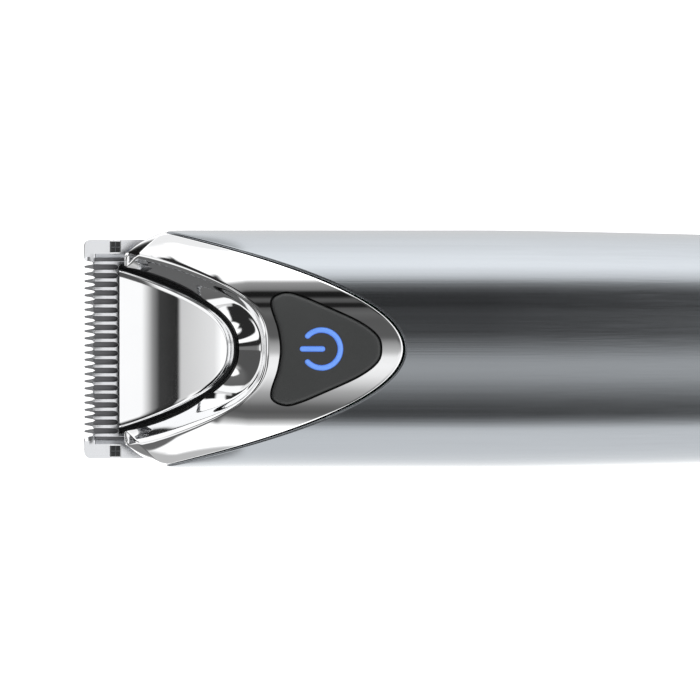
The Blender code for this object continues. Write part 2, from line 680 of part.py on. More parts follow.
# ---------------------------------------------------------------- the drive
def build_motor():
    start, length = MOTOR_START, MOTOR_LENGTH
    half = MOTOR_FLATS / 2
    wall = 0.8

    def flatted(name, first, last, radius, flat, finish=None):
        round_part = cylinder(name, (at(first), 0, SHAFT_HEIGHT), radius, last - first, finish,
                              sides=32)
        return keep(round_part, box(name + "_flats", (at(first) - 1, -20, SHAFT_HEIGHT - flat),
                                    (at(last) + 1, 20, SHAFT_HEIGHT + flat)))

    can = flatted("motor_can", start, start + length - 3, MOTOR_DIAMETER / 2, half, "motor_steel")
    inner = flatted("can_hollow", start + wall, start + length, MOTOR_DIAMETER / 2 - wall, half - wall)
    boss = cylinder("can_boss", (at(start - 1.4), 0, SHAFT_HEIGHT), 3.2, 2, sides=20)
    shaft_hole = cylinder("can_shaft_hole", (at(start - 3), 0, SHAFT_HEIGHT), 1.3, 6, sides=16)
    cut(join(cut(can, inner), boss), shaft_hole)
    bell = flatted("motor_end_bell", start + length - 2.7, start + length, MOTOR_DIAMETER / 2, half,
                   "white_acetal")
    cut(bell, cylinder("bell_bore", (at(start + length - 6), 0, SHAFT_HEIGHT), 2.9, 8, sides=16))
    for side, sign in (("left", -1), ("right", 1)):
        magnet = cylinder(f"motor_magnet_{side}", (at(start + 5), 0, SHAFT_HEIGHT), 9.1, 19, "magnet",
                          sides=32)
        bore = cylinder(f"magnet_bore_{side}", (at(start + 4), 0, SHAFT_HEIGHT), 7.0, 22, sides=32)
        near, far = sorted((sign * 3.4, sign * 12))
        half_only = box(f"magnet_half_{side}", (at(start), near, SHAFT_HEIGHT - 6.4),
                        (at(start + 40), far, SHAFT_HEIGHT + 6.4))
        keep(cut(magnet, bore), half_only)
        box(f"motor_brush_{side}",
            (at(start + 26.0), *sorted((sign * 3.0, sign * 6.0))[:1], SHAFT_HEIGHT - 1),
            (at(start + 28.0), sorted((sign * 3.0, sign * 6.0))[1], SHAFT_HEIGHT + 1), "copper")
    rear = cylinder("rear_bearing", (at(start + length - 2.5), 0, SHAFT_HEIGHT), 2.6, 2.2, "bronze",
                    sides=18)
    cut(rear,
        cylinder("rear_bearing_bore", (at(start + length - 4), 0, SHAFT_HEIGHT), 1.2, 6, sides=14))
    front = cylinder("front_bearing", (at(start + wall + GAP), 0, SHAFT_HEIGHT), 3.0, 2.0, "bronze",
                     sides=18)
    cut(front, cylinder("front_bearing_bore", (at(start), 0, SHAFT_HEIGHT), 1.2, 6, sides=14))


def build_rotor():
    start = MOTOR_START
    cylinder("motor_shaft", (at(25.9), 0, SHAFT_HEIGHT), 1.0, start + MOTOR_LENGTH - 0.4 - 25.9,
             "spring_steel", sides=14)
    armature = cylinder("armature", (at(start + 6.5), 0, SHAFT_HEIGHT), 6.2, 16, "copper", sides=24)
    for i in range(3):
        angle = math.radians(90 + 120 * i)
        slot = cylinder(f"armature_slot_{i}",
                        (at(start + 5), 5.4 * math.cos(angle), SHAFT_HEIGHT + 5.4 * math.sin(angle)),
                        1.3, 20, sides=10)
        cut(armature, slot)
    cut(armature, cylinder("armature_bore", (at(start + 4), 0, SHAFT_HEIGHT), 1.2, 22, sides=14))
    commutator = cylinder("commutator", (at(start + 23.4), 0, SHAFT_HEIGHT), 2.6, 5.0, "copper",
                          sides=18)
    cut(commutator, cylinder("commutator_bore", (at(start + 22), 0, SHAFT_HEIGHT), 1.2, 8, sides=14))
    hub = cylinder("eccentric_cam", (at(25.2), 0, SHAFT_HEIGHT), 2.9, 4.0, "white_acetal", sides=24)
    bore = cylinder("cam_bore", (at(25.6), 0, SHAFT_HEIGHT), 1.2, 6, sides=14)
    cut(hub, bore)
    pin = cylinder("drive_pin", (at(18.3), 0, SHAFT_HEIGHT - THROW), PIN_RADIUS, 6.6, "spring_steel",
                   sides=14)
    return pin


# ---------------------------------------------------------------- inside the handle
def build_bulkhead():
    """The wall that closes the handle's mouth behind the blade head."""
    wall = skin_body("front_bulkhead", [22.4, 24.2], BEZEL_WALL + GAP + 0.1, "black_plastic", sides=40)
    trim = box("bulkhead_top", (at(20), -30, 17.6), (at(26), 30, 40))
    pin_hole = cylinder("pin_clearance", (at(20), 0, SHAFT_HEIGHT), 2.7, 8, sides=20)
    windows = [box(f"hook_window_{side}", (at(20), sign * 12.4 - 1.7, 7.4),
                   (at(26), sign * 12.4 + 1.7, 10.7))
               for side, sign in (("left", -1), ("right", 1))]
    return cut(wall, trim, pin_hole, *windows)


def build_chassis():
    """The tray with saddles for the motor and the cell, and the strap that holds the motor."""
    stations = [28, 68, 85, 105, 128, 141]
    tray = skin_body("chassis_tray", stations, SLEEVE_WALL + GAP, "grey_plastic", sides=56)
    inside = skin_body("tray_inside", [26] + stations[1:-1] + [142], SLEEVE_WALL + GAP + 1.2, sides=56)
    cut(tray, inside, box("tray_top", (at(20), -30, 11.0), (at(150), 30, 40)))
    room = skin_body("tray_room", stations, SLEEVE_WALL + GAP + 0.5, sides=56)
    motor_low = (at(20), -MOTOR_DIAMETER / 2 - GAP, SHAFT_HEIGHT - MOTOR_FLATS / 2 - GAP)
    motor_room = box("motor_room", motor_low, (at(66), MOTOR_DIAMETER / 2 + GAP, 30))
    for i, station in enumerate((33.5, STRAP_STATION - 2)):
        saddle = box(f"motor_saddle_{i}", (at(station), -15.2, 1.8), (at(station + 4), 15.2, 9.5))
        join(tray, cut(keep(saddle, room), motor_room))
    cell_room = cylinder("cell_room", (at(70), 0, CELL_HEIGHT), CELL_RADIUS + GAP, 75, sides=28)
    for i, station in enumerate((79.0, 131.0)):
        saddle = box(f"cell_saddle_{i}", (at(station), -12, 1.8), (at(station + 2), 12, 10.5))
        join(tray, cut(keep(saddle, room), cell_room))
    join(tray, box("middle_wall", (at(68.6), -8, 1.8), (at(70.2), 8, BOARD_HEIGHT - GAP)))
    strap = box("motor_strap", (at(STRAP_STATION - 1.9), -11.4, 20.5),
                (at(STRAP_STATION + 1.9), 11.4, 21.3), "spring_steel")
    for side, sign in (("left", -1), ("right", 1)):
        low, high = sorted((sign * 10.5, sign * 11.4))
        leg = box(f"strap_leg_{side}", (at(STRAP_STATION - 1.9), low, 9.8),
                  (at(STRAP_STATION + 1.9), high, 21.0))
        low, high = sorted((sign * 10.8, sign * 15.2))
        foot = box(f"strap_foot_{side}", (at(STRAP_STATION - 1.9), low, 9.8),
                   (at(STRAP_STATION + 1.9), high, 10.6))
        hole = cylinder(f"strap_hole_{side}", (at(STRAP_STATION), sign * 13.3, 3), 1.1, 9, axis="Z",
                        sides=12)
        cut(join(strap, leg, foot), hole)
        cut(tray, hole)
        screw = cylinder(f"strap_screw_{side}", (at(STRAP_STATION), sign * 13.3, 10.9), 1.6, 1.0,
                         "spring_steel", axis="Z", sides=14)
        shank = cylinder(f"strap_shank_{side}", (at(STRAP_STATION), sign * 13.3, 4.0), 0.8, 7.2,
                         axis="Z", sides=10)
        slot = box(f"strap_screw_slot_{side}", (at(STRAP_STATION) - 2, sign * 13.3 - 0.25, 11.5),
                   (at(STRAP_STATION) + 2, sign * 13.3 + 0.25, 13))
        cut(join(screw, shank), slot)


def build_power():
    middle = CELL_HEIGHT
    cell = cylinder("battery_cell", (at(CELL_START), 0, middle), CELL_RADIUS, CELL_LENGTH, "cell_wrap",
                    sides=28)
    join(cell, cylinder("cell_nub", (at(CELL_START - 1.2), 0, middle), 2.8, 3, sides=16))
    box("battery_tab_front", (at(CELL_START - 1.9), -3, middle - 4),
        (at(CELL_START - 1.5), 3, BOARD_HEIGHT - GAP), "nickel")
    end = CELL_START + CELL_LENGTH
    box("battery_tab_rear", (at(end + 0.3), -3, middle - 4), (at(end + 0.7), 3, BOARD_HEIGHT - GAP),
        "nickel")
    top = BOARD_HEIGHT + BOARD_THICK
    box("circuit_board", (at(33), -9.5, BOARD_HEIGHT), (at(141), 9.5, top), "green_board")
    box("status_led", (at(BUTTON_CENTRE - 3.6), -1.1, top + GAP),
        (at(BUTTON_CENTRE - 1.6), 1.1, top + GAP + 1.2), "white_acetal")
    box("charge_controller", (at(92), -2.6, top + GAP), (at(98), 2.6, top + GAP + 1.3), "black_plastic")
    cylinder("smoothing_capacitor", (at(75), 0, top + GAP + 1.6), 1.6, 6.0, "nickel", sides=14)
    foam = box("cell_foam_pad", (at(85), -6, CELL_HEIGHT + CELL_RADIUS + GAP),
               (at(127), 6, BOARD_HEIGHT - GAP), "seal_rubber")
    return foam


def build_leads():
    """Two leads from the motor's end bell up to the board, and two from the socket."""
    for name, sign, finish in (("red", -1, "red_wire"), ("black", 1, "seal_rubber")):
        path = [(at(64.0), sign * 5, 13), (at(65.4), sign * 5.4, 13.6), (at(66.4), sign * 6.4, 16),
                (at(67.0), sign * 7.2, 19.5), (at(67.6), sign * 7.2, 23.4)]
        wire(f"motor_lead_{name}", path, 0.55, finish)
        path = [(at(142.0), sign * 2.2, 16), (at(141.6), sign * 4.6, 17.6),
                (at(140.6), sign * 6.8, 20), (at(139.8), sign * 7, 23.4)]
        wire(f"socket_lead_{name}", path, 0.5, finish)


def main():
    frame = blade_frame()
    build_sleeve()
    build_bezel()
    build_end_cap()
    build_button()
    build_switch()
    build_head(frame)
    build_motor()
    build_rotor()
    build_bulkhead()
    build_chassis()
    build_power()
    build_leads()


main()
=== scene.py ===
import json
import math
import bmesh
import bpy
from mathutils import Matrix, Vector


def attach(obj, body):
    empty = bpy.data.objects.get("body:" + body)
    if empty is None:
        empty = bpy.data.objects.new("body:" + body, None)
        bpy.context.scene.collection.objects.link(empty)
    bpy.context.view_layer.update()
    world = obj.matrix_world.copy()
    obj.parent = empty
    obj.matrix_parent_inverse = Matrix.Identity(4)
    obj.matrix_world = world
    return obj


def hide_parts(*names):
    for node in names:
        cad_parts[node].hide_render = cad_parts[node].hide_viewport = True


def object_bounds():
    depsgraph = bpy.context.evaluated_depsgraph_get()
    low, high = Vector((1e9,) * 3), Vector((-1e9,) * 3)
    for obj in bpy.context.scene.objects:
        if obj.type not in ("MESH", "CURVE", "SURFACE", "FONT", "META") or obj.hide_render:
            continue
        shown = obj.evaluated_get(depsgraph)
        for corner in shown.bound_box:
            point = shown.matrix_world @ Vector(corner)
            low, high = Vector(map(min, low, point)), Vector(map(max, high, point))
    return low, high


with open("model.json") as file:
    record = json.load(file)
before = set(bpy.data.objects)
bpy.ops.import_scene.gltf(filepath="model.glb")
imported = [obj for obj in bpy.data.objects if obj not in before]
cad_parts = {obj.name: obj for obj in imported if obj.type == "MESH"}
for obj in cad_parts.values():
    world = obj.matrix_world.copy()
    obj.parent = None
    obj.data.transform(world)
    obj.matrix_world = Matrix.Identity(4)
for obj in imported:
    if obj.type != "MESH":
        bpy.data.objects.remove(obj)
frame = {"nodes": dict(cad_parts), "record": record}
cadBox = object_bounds()
mm = 0.001
tipX = cadBox[0].x / mm  # the blade's tips; a station is a distance back from them, in millimetres
print("frame loaded:", len(frame["nodes"]), "pieces of the mechanism")


# shader maths
class Wire:
    def __init__(self, graph, socket):
        self.graph = graph
        self.socket = socket

    def out(self, name):
        return Wire(self.graph, self.socket.node.outputs[name])

    def apply(self, operation, *others):
        values = dict(enumerate((self, *others)))
        return self.graph.node("ShaderNodeMath", {"operation": operation}, values)

    def __add__(self, other):
        return self.apply("ADD", other)

    def __sub__(self, other):
        return self.apply("SUBTRACT", other)

    def __mul__(self, other):
        return self.apply("MULTIPLY", other)

    def __truediv__(self, other):
        return self.apply("DIVIDE", other)

    def __rsub__(self, other):
        return -self + other

    def __neg__(self):
        return self * -1

    def size(self):
        return self.apply("ABSOLUTE")

    __radd__ = __add__
    __rmul__ = __mul__


class Graph:
    def __init__(self, owner):
        owner.use_nodes = True
        self.tree = owner.node_tree
        self.tree.nodes.clear()

    def node(self, kind, settings=None, sockets=None):
        made = self.tree.nodes.new(kind)
        for name, value in (settings or {}).items():
            setattr(made, name, value)
        for key, value in (sockets or {}).items():
            if isinstance(value, Wire):
                self.tree.links.new(value.socket, made.inputs[key])
            else:
                made.inputs[key].default_value = value
        return Wire(self, made.outputs[0]) if made.outputs else None

    def ramp(self, value, stops):
        made = self.node("ShaderNodeValToRGB", {}, {"Fac": value})
        elements = made.socket.node.color_ramp.elements
        while len(elements) < len(stops):
            elements.new(0.5)
        for element, (spot, level) in zip(elements, stops):
            element.position = spot
            element.color = (level, level, level, 1)
        return made

    def between(self, value, low, high):
        return self.node("ShaderNodeMapRange", {"interpolation_type": "SMOOTHSTEP"},
                         {"Value": value, "From Min": low, "From Max": high})

    def mixColour(self, factor, first, second):
        return self.node("ShaderNodeMix", {"data_type": "RGBA"}, {0: factor, 6: first, 7: second}).out(2)

    def noise(self, place, scale, detail):
        return self.node("ShaderNodeTexNoise", {}, {"Vector": place, "Scale": scale, "Detail": detail})

    def place(self, stretch=(1, 1, 1)):
        spot = self.node("ShaderNodeTexCoord").out("Object")
        return self.node("ShaderNodeMapping", {}, {"Vector": spot, "Scale": stretch})

    def bump(self, height, strength, distance):
        return self.node("ShaderNodeBump", {},
                         {"Height": height, "Strength": strength, "Distance": distance})


def makeMaterial(name, metallic, build, *values):
    made = bpy.data.materials.new(name)
    graph = Graph(made)
    sockets = {"Metallic": metallic, **build(graph, *values)}
    shader = graph.node("ShaderNodeBsdfPrincipled", {}, sockets)
    graph.node("ShaderNodeOutputMaterial", {}, {"Surface": shader})
    return made


def shades(graph, mask, dark, light):
    return graph.mixColour(mask, (*dark, 1), (*light, 1))


def brushedLook(graph):
    lines = graph.noise(graph.place((22, 5200, 5200)), 1, 2)
    bands = graph.noise(graph.place((6, 900, 900)), 1, 3)
    return {
        "Base Color": shades(graph, lines * 0.6 + bands * 0.4, (0.267, 0.283, 0.30), (0.327, 0.347, 0.367)),
        "Roughness": 0.13 + lines * 0.07 + bands * 0.05,
        "Normal": graph.bump(lines, 0.12, 0.00004),
    }


def chromeLook(graph):
    haze = graph.noise(graph.place((140, 140, 140)), 1, 4)
    return {
        "Base Color": shades(graph, haze, (0.86, 0.865, 0.875), (0.91, 0.915, 0.92)),
        "Roughness": 0.035 + haze * 0.03,
    }


def groundLook(graph):
    lines = graph.noise(graph.place((160, 5000, 160)), 1, 3)
    cloud = graph.noise(graph.place((120, 120, 120)), 1, 3)
    return {
        "Base Color": shades(graph, lines * 0.5 + cloud * 0.5, (0.60, 0.61, 0.63), (0.76, 0.77, 0.79)),
        "Roughness": 0.16 + lines * 0.12 + cloud * 0.04,
        "Normal": graph.bump(lines, 0.10, 0.00003),
    }


def mouldedLook(graph, dark, light, rough, grain=2600):
    texture = graph.noise(graph.place(), grain, 2)
    cloud = graph.noise(graph.place(), 90, 3)
    return {
        "Base Color": shades(graph, cloud, dark, light),
        "Roughness": rough + cloud * 0.08 + texture * 0.06,
        "Normal": graph.bump(texture, 0.25, 0.00004),
    }


def metalLook(graph, dark, light, rough, stretch):
    lines = graph.noise(graph.place(stretch), 1, 3)
    cloud = graph.noise(graph.place(), 160, 4)
    return {
        "Base Color": shades(graph, lines * 0.5 + cloud * 0.5, dark, light),
        "Roughness": rough + lines * 0.10 + cloud * 0.06,
        "Normal": graph.bump(lines, 0.12, 0.00003),
    }


def windingLook(graph):
    turns = graph.node("ShaderNodeTexWave", {"bands_direction": "Y"},
                       {"Vector": graph.place(), "Scale": 620, "Distortion": 0.6, "Detail": 1})
    turns = turns.out("Fac")
    return {
        "Base Color": shades(graph, turns, (0.38, 0.14, 0.05), (0.80, 0.40, 0.20)),
        "Roughness": 0.28 + turns * 0.1,
        "Normal": graph.bump(turns, 0.6, 0.0001),
    }


def boardLook(graph):
    cells = graph.node("ShaderNodeTexBrick", {},
                       {"Vector": graph.place(), "Scale": 260, "Mortar Size": 0.03,
                        "Color1": (0, 0, 0, 1), "Color2": (0.3, 0.3, 0.3, 1), "Mortar": (1, 1, 1, 1)})
    cloud = graph.noise(graph.place(), 400, 2)
    tracks = cells * graph.between(cloud, 0.45, 0.6)
    return {
        "Base Color": shades(graph, tracks, (0.012, 0.10, 0.045), (0.10, 0.32, 0.16)),
        "Roughness": 0.38 + cloud * 0.12,
        "Normal": graph.bump(tracks, 0.3, 0.00005),
    }


def lightLook(graph):
    glow = graph.noise(graph.place(), 300, 2)
    tone = shades(graph, glow, (0.11, 0.25, 0.70), (0.14, 0.31, 0.82))
    return {
        "Base Color": tone, "Emission Color": tone, "Emission Strength": 0.5,
        "Roughness": 0.30 + glow * 0.08,
    }


moulded = {  # the darkest and lightest colour, the roughness and, where it differs, the grain
    "blackPlastic": ((0.012, 0.013, 0.014), (0.03, 0.031, 0.033), 0.36),
    "greyPlastic": ((0.17, 0.18, 0.19), (0.23, 0.24, 0.25), 0.45),
    "whiteAcetal": ((0.74, 0.74, 0.71), (0.84, 0.84, 0.81), 0.34),
    "buttonRubber": ((0.034, 0.036, 0.036), (0.048, 0.05, 0.05), 0.52),
    "sealRubber": ((0.012, 0.012, 0.012), (0.03, 0.03, 0.03), 0.62),
    "redInsulation": ((0.42, 0.02, 0.015), (0.62, 0.05, 0.03), 0.35),
    "cellWrap": ((0.05, 0.22, 0.40), (0.09, 0.31, 0.52), 0.28, 900),
    "ferrite": ((0.07, 0.07, 0.075), (0.13, 0.13, 0.14), 0.55, 1800),
}
metals = {  # the darkest and lightest colour, the roughness, how close its lines lie along each axis
    "springSteel": ((0.42, 0.43, 0.45), (0.62, 0.63, 0.65), 0.22, (900, 60, 900)),
    # painted shade: a darker steel for the fixed blade's channel floor between the moving teeth
    "paintedShadeSteel": ((0.16, 0.16, 0.17), (0.26, 0.26, 0.27), 0.42, (60, 900, 900)),
    "motorSteel": ((0.46, 0.47, 0.48), (0.63, 0.64, 0.64), 0.28, (60, 900, 900)),
    "copperBar": ((0.55, 0.24, 0.11), (0.80, 0.42, 0.24), 0.24, (60, 900, 900)),
    "sinteredBronze": ((0.36, 0.24, 0.11), (0.58, 0.42, 0.22), 0.38, (1500, 1500, 1500)),
    "nickelStrip": ((0.55, 0.53, 0.47), (0.74, 0.71, 0.65), 0.22, (900, 60, 900)),
}
looks = {
    "brushedSteel": (1, brushedLook), "polishedChrome": (1, chromeLook),
    "groundSteel": (1, groundLook), "copperWinding": (1, windingLook),
    "greenBoard": (0, boardLook), "blueLight": (0, lightLook),
}
looks.update({name: (0, mouldedLook, *values) for name, values in moulded.items()})
looks.update({name: (1, metalLook, *values) for name, values in metals.items()})
looks = {name: makeMaterial(name, *values) for name, values in looks.items()}
print("materials made:", len(looks))


# the handle's skin, shared by the pieces that lie in it
handle = {
    "length": 158, "halfWidth": 19.75, "thickness": 31.5, "midHeight": 14.5, "widest": 20,
    "frontPower": 2.2, "backPower": 2.6, "overshoot": 0.8, "capRounding": 2.6,
    # how it narrows: from which station, by how much, over what run and to what power
    "sideFront": (16, 4, -9, 2), "sideRear": (68, 2.35, 90, 1.3),
    "crownFront": (28, 15, -21, 1.6), "crownRear": (68, 3, 90, 1.3), "backFront": (22, 5, -14, 1.5),
}


def atX(station):
    return tipX + station


def taper(name, station):
    start, amount, run, power = handle[name]
    return amount * max(0, (station - start) / run) ** power


def halfWidth(station):
    return handle["halfWidth"] - taper("sideFront", station) - taper("sideRear", station)


def crown(station):
    return handle["thickness"] - taper("crownFront", station) - taper("crownRear", station)


def back(station):
    return taper("backFront", station)


def endRounding(station):
    radius = handle["capRounding"]
    into = min(radius, max(0, station - (handle["length"] - radius)))
    return radius - math.sqrt(radius ** 2 - into ** 2)


def skinPoint(station, angle, inset=0):
    inset = inset + endRounding(station)
    across, up = math.cos(angle), math.sin(angle)
    middle = handle["midHeight"]
    if up >= 0:
        power, reach = handle["frontPower"], crown(station) - middle - inset
    else:
        power, reach = handle["backPower"], middle - back(station) + handle["overshoot"] - inset
    y = (halfWidth(station) - inset) * math.copysign(abs(across) ** (2 / power), across)
    z = middle + reach * math.copysign(abs(up) ** (2 / power), up)
    return Vector((atX(station), y, max(z, back(station) + inset)))


def skinHeight(station, y):
    share = min(1, abs(y) / halfWidth(station))
    power, middle = handle["frontPower"], handle["midHeight"]
    return middle + (crown(station) - middle) * (1 - share ** power) ** (1 / power)


def skinAngle(station, y):
    share = min(1, y / halfWidth(station))
    return math.acos(share ** (handle["frontPower"] / 2))


# making and finishing meshes
def sheet(rows, columns, place, skip=None):
    bm = bmesh.new()
    bmesh.ops.create_grid(bm, x_segments=rows, y_segments=columns, size=0.5)
    if skip:
        middles = {face: face.calc_center_median() for face in bm.faces}
        gone = [f for f, m in middles.items() if skip(int((m.x + 0.5) * rows), int((m.y + 0.5) * columns))]
        bmesh.ops.delete(bm, geom=gone, context="FACES")
    for vert in bm.verts:
        row = round((vert.co.x + 0.5) * rows)
        column = round((vert.co.y + 0.5) * columns)
        vert.co = place(row, column)
    bmesh.ops.remove_doubles(bm, verts=bm.verts[:], dist=0.002)
    bmesh.ops.recalc_face_normals(bm, faces=bm.faces[:])
    return bm


def faceUp(bm):
    if sum(face.normal.z * face.calc_area() for face in bm.faces) < 0:
        bmesh.ops.reverse_faces(bm, faces=bm.faces[:])


def faceAway(bm, axisHeight):
    def outwards(face):
        middle = face.calc_center_median()
        return face.normal.dot(Vector((0, middle.y, middle.z - axisHeight)))
    if sum(outwards(face) for face in bm.faces) < 0:
        bmesh.ops.reverse_faces(bm, faces=bm.faces[:])


def lathe(rings):
    # rings of points, one after another; the last may return to the first
    count = len(rings[0])
    return sheet(len(rings) - 1, count, lambda row, column: rings[row][column % count])


def plate(outline, low, high):
    bm = bmesh.new()
    verts = [bmesh.ops.create_vert(bm, co=(x, y, low))["vert"][0] for x, y in outline]
    edges = [bm.edges.new((verts[i - 1], vert)) for i, vert in enumerate(verts)]
    bmesh.ops.edgenet_fill(bm, edges=edges)
    raiseTop(bm, lambda spot: high)
    return bm


def rod(radius, length, matrix, segments=48):
    bm = bmesh.new()
    bmesh.ops.create_cone(bm, cap_ends=True, segments=segments, radius1=radius, radius2=radius, depth=length,
                          matrix=matrix)
    return bm


def move(bm, vec):
    bmesh.ops.translate(bm, vec=vec, verts=bm.verts[:])


def raiseTop(bm, height):
    raised = bmesh.ops.extrude_face_region(bm, geom=bm.faces[:])["geom"]
    for vert in raised:
        if isinstance(vert, bmesh.types.BMVert):
            vert.co.z = height(vert.co)
    bmesh.ops.recalc_face_normals(bm, faces=bm.faces[:])


def soften(bm, width, segments=2, above=30):
    limit = math.radians(above)
    edges = [e for e in bm.edges if e.is_manifold and e.calc_face_angle(0) > limit]
    bmesh.ops.bevel(bm, geom=edges, offset=width, offset_type="OFFSET", segments=segments, profile=0.5,
                    affect="EDGES", material=-1, clamp_overlap=True)


def addModifier(obj, kind, **settings):
    made = obj.modifiers.new(kind, kind)
    for name, value in settings.items():
        setattr(made, name, value)


def bareObject(bm, name):
    mesh = bpy.data.meshes.new(name)
    bm.to_mesh(mesh)
    bm.free()
    mesh.transform(Matrix.Scale(mm, 4))
    obj = bpy.data.objects.new(name, mesh)
    bpy.context.scene.collection.objects.link(obj)
    return obj


def applyModifiers(obj):
    bpy.context.view_layer.update()
    mesh = bpy.data.meshes.new_from_object(obj.evaluated_get(bpy.context.evaluated_depsgraph_get()))
    obj.modifiers.clear()
    obj.data = mesh


def finishPiece(bm, name, body, look, nodes, wall=0, cutters=(), sharp=32):
    obj = bareObject(bm, name)
    if wall:
        addModifier(obj, "SOLIDIFY", thickness=wall * mm, offset=-1, use_even_offset=False)
    made = [bareObject(cutter, name + "Cutter") for cutter in cutters]
    for cutter in made:
        addModifier(obj, "BOOLEAN", operation="DIFFERENCE", object=cutter)
    if obj.modifiers:
        applyModifiers(obj)
    for cutter in made:
        bpy.data.objects.remove(cutter)
    for each in (look,) if isinstance(look, str) else look:
        obj.data.materials.append(looks[each])
    obj.data.shade_smooth()
    obj.data.set_sharp_from_angle(angle=math.radians(sharp))
    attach(obj, body)
    if nodes:
        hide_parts(*nodes)
    return obj


def camelName(node):
    first, *rest = node.split("_")
    return first + "".join(word.capitalize() for word in rest)


def spread(start, end, count):
    return [start + (end - start) * i / (count - 1) for i in range(count)]


def quarter(radius, steps):
    # offsets from an edge and depths under the skin, along a rounded edge
    turns = spread(0, math.pi / 2, steps + 1)
    return [(radius * (1 - math.cos(a)), radius * (1 - math.sin(a))) for a in turns]


def evenly(points, count):
    # the same path with evenly spaced points, interpolating every number of each point
    lengths = [0]
    for a, b in zip(points, points[1:]):
        lengths.append(lengths[-1] + (b[0] - a[0]).length)
    made = []
    j = 0
    for target in spread(0, lengths[-1], count):
        while j < len(points) - 2 and lengths[j + 1] < target:
            j += 1
        span = lengths[j + 1] - lengths[j]
        share = (target - lengths[j]) / span if span else 0
        made.append([p + (q - p) * share for p, q in zip(points[j], points[j + 1])])
    return made


def alongSteps(points, u):
    # the value at u between the nearest of the points given
    for (u0, v0), (u1, v1) in zip(points, points[1:]):
        if u <= u1:
            return v0 + (v1 - v0) * max(0, u - u0) / (u1 - u0)
    return points[-1][1]


# the brushed sleeve
bezel = {
    "tip": 53.4, "bluntness": 9.51, "front": 7.4, "armEnd": 7, "lowEdge": 11.5, "sleeveStart": 14,
    "tuck": 0.02, "gap": 0.3, "wall": 0.7, "roll": 0.28, "buttonGap": 0.28, "hole": (20, 40),
    "creaseLimit": 0.975, "lip": 0.75, "lipShare": 0.4, "shelfStart": 0.15, "seamEdge": (0.12, 0.7),
    # the step under the crease at the tip and along the arms, and where one turns into the other
    "stepRun": (0.14, 0.45), "stepDrop": (0.62, 0.5), "blendFrom": 0.2, "blendRun": 0.4,
    "chamfer": ((7.2, 15.6), (11.6, 19.7)), "chamferWidth": 1.5, "chamferSlope": 1.5, "chamferFloor": 11.6,
    "columns": 150, "skinRows": 38, "lipRows": 8, "footRows": 6, "wallRows": 9, "endRows": 5,
    "samples": 300, "cornerSamples": 30, "armSamples": 40,
}
sleeve = {
    "start": 14, "end": 150.2, "wall": 0.9, "around": 288, "along": 56, "roll": 0.3, "spacing": 1.7,
    "mostStretch": 3,
}


def parabolaStation(y, margin=0):
    slope = 2 * y / bezel["bluntness"]
    return bezel["tip"] - y ** 2 / bezel["bluntness"] + margin * math.sqrt(1 + slope ** 2)


def sleeveStart(angle):
    if math.sin(angle) < 0:
        return sleeve["start"] + 0.001
    y = abs(skinPoint(handle["widest"], angle).y)
    return max(sleeve["start"] + bezel["gap"], parabolaStation(y, bezel["gap"]))


def buildSleeve():
    around = sleeve["around"]
    roll = quarter(sleeve["roll"], 4)
    step = 2 * math.pi / around
    rows = sleeve["along"]

    def rollStretch(angle):
        # a rounded edge that runs slantwise keeps its width
        here, there = sleeveStart(angle - step), sleeveStart(angle + step)
        width = (skinPoint(here, angle - step) - skinPoint(here, angle + step)).length
        return min(sleeve["mostStretch"], math.sqrt(1 + ((there - here) / max(width, 1e-6)) ** 2))

    def ringPoint(row, column):
        angle = -math.pi / 2 + step * (column % around)
        start, end = sleeveStart(angle), sleeve["end"]
        stretch = rollStretch(angle)
        if row < len(roll):
            offset, inset = roll[row]
            return skinPoint(start + offset * stretch, angle, inset)
        if row > rows - len(roll):
            offset, inset = roll[rows - row]
            return skinPoint(end - offset, angle, inset)
        share = (row - len(roll) + 1) / (rows - 2 * len(roll) + 2)
        first, last = start + roll[-1][0] * stretch, end - roll[-1][0]
        return skinPoint(first + (last - first) * share ** sleeve["spacing"], angle)

    bm = sheet(rows, around, ringPoint)
    faceAway(bm, handle["midHeight"])
    finishPiece(bm, "bodySleeve", "handle", "brushedSteel", ["body_sleeve"],
                wall=sleeve["wall"])


buildSleeve()
print("sleeve done")


# the button and its light
button = {
    "centre": 40, "points": [(49.7, 0), (49, 2.2), (45.9, 4.5), (40.2, 7.1), (36.6, 8.6), (34.2, 9.15),
                               (32.2, 8.4), (31.9, 6.9), (33, 3.4)],
    "hollow": 33.45, "steps": 14, "flange": 0.9, "flangeTop": 1.9, "bottom": 2.7, "edge": 0.55,
    "proud": 0.12, "pocketRadius": 4.6, "pocketDepth": 4.2, "pocketHeight": 28.1, "slots": (29, 34),
}
symbol = {
    "radius": 3.11, "stroke": 0.78, "opening": 36, "barEnd": 0.55, "clear": 0.08, "proud": 0.14,
    "depth": 1.6, "edge": 0.12, "knuckle": 0.3, "tipTurn": 0.2, "tipSteps": 6, "steps": 61,
}
lightParts = {  # radius, thickness, station, height and facets
    "lightDisc": (4.3, 0.9, 40, 29.4, 64), "switchStem": (1.4, 0.45, 42, 28.74, 32),
}


def smoothLoop(points, steps):
    made = []
    count = len(points)
    for i in range(count):
        a, b, c, d = (Vector(points[(i + k - 1) % count]) for k in range(4))
        for step in range(steps):
            t = step / steps
            made.append(0.5 * (2 * b + (c - a) * t + (2 * a - 5 * b + 4 * c - d) * t ** 2
                               + (3 * b - a - 3 * c + d) * t ** 3))
    return made


def buttonLoop(margin):
    upper = [(atX(s), y) for s, y in button["points"]]
    lower = [(x, -y) for x, y in reversed(upper[1:])]
    loop = smoothLoop(upper + [(atX(button["hollow"]), 0)] + lower, button["steps"])
    grown = []
    for i, here in enumerate(loop):
        along = (loop[(i + 1) % len(loop)] - loop[i - 1]).normalized()
        grown.append(Vector((here.x + along.y * margin, here.y - along.x * margin)))
    return grown


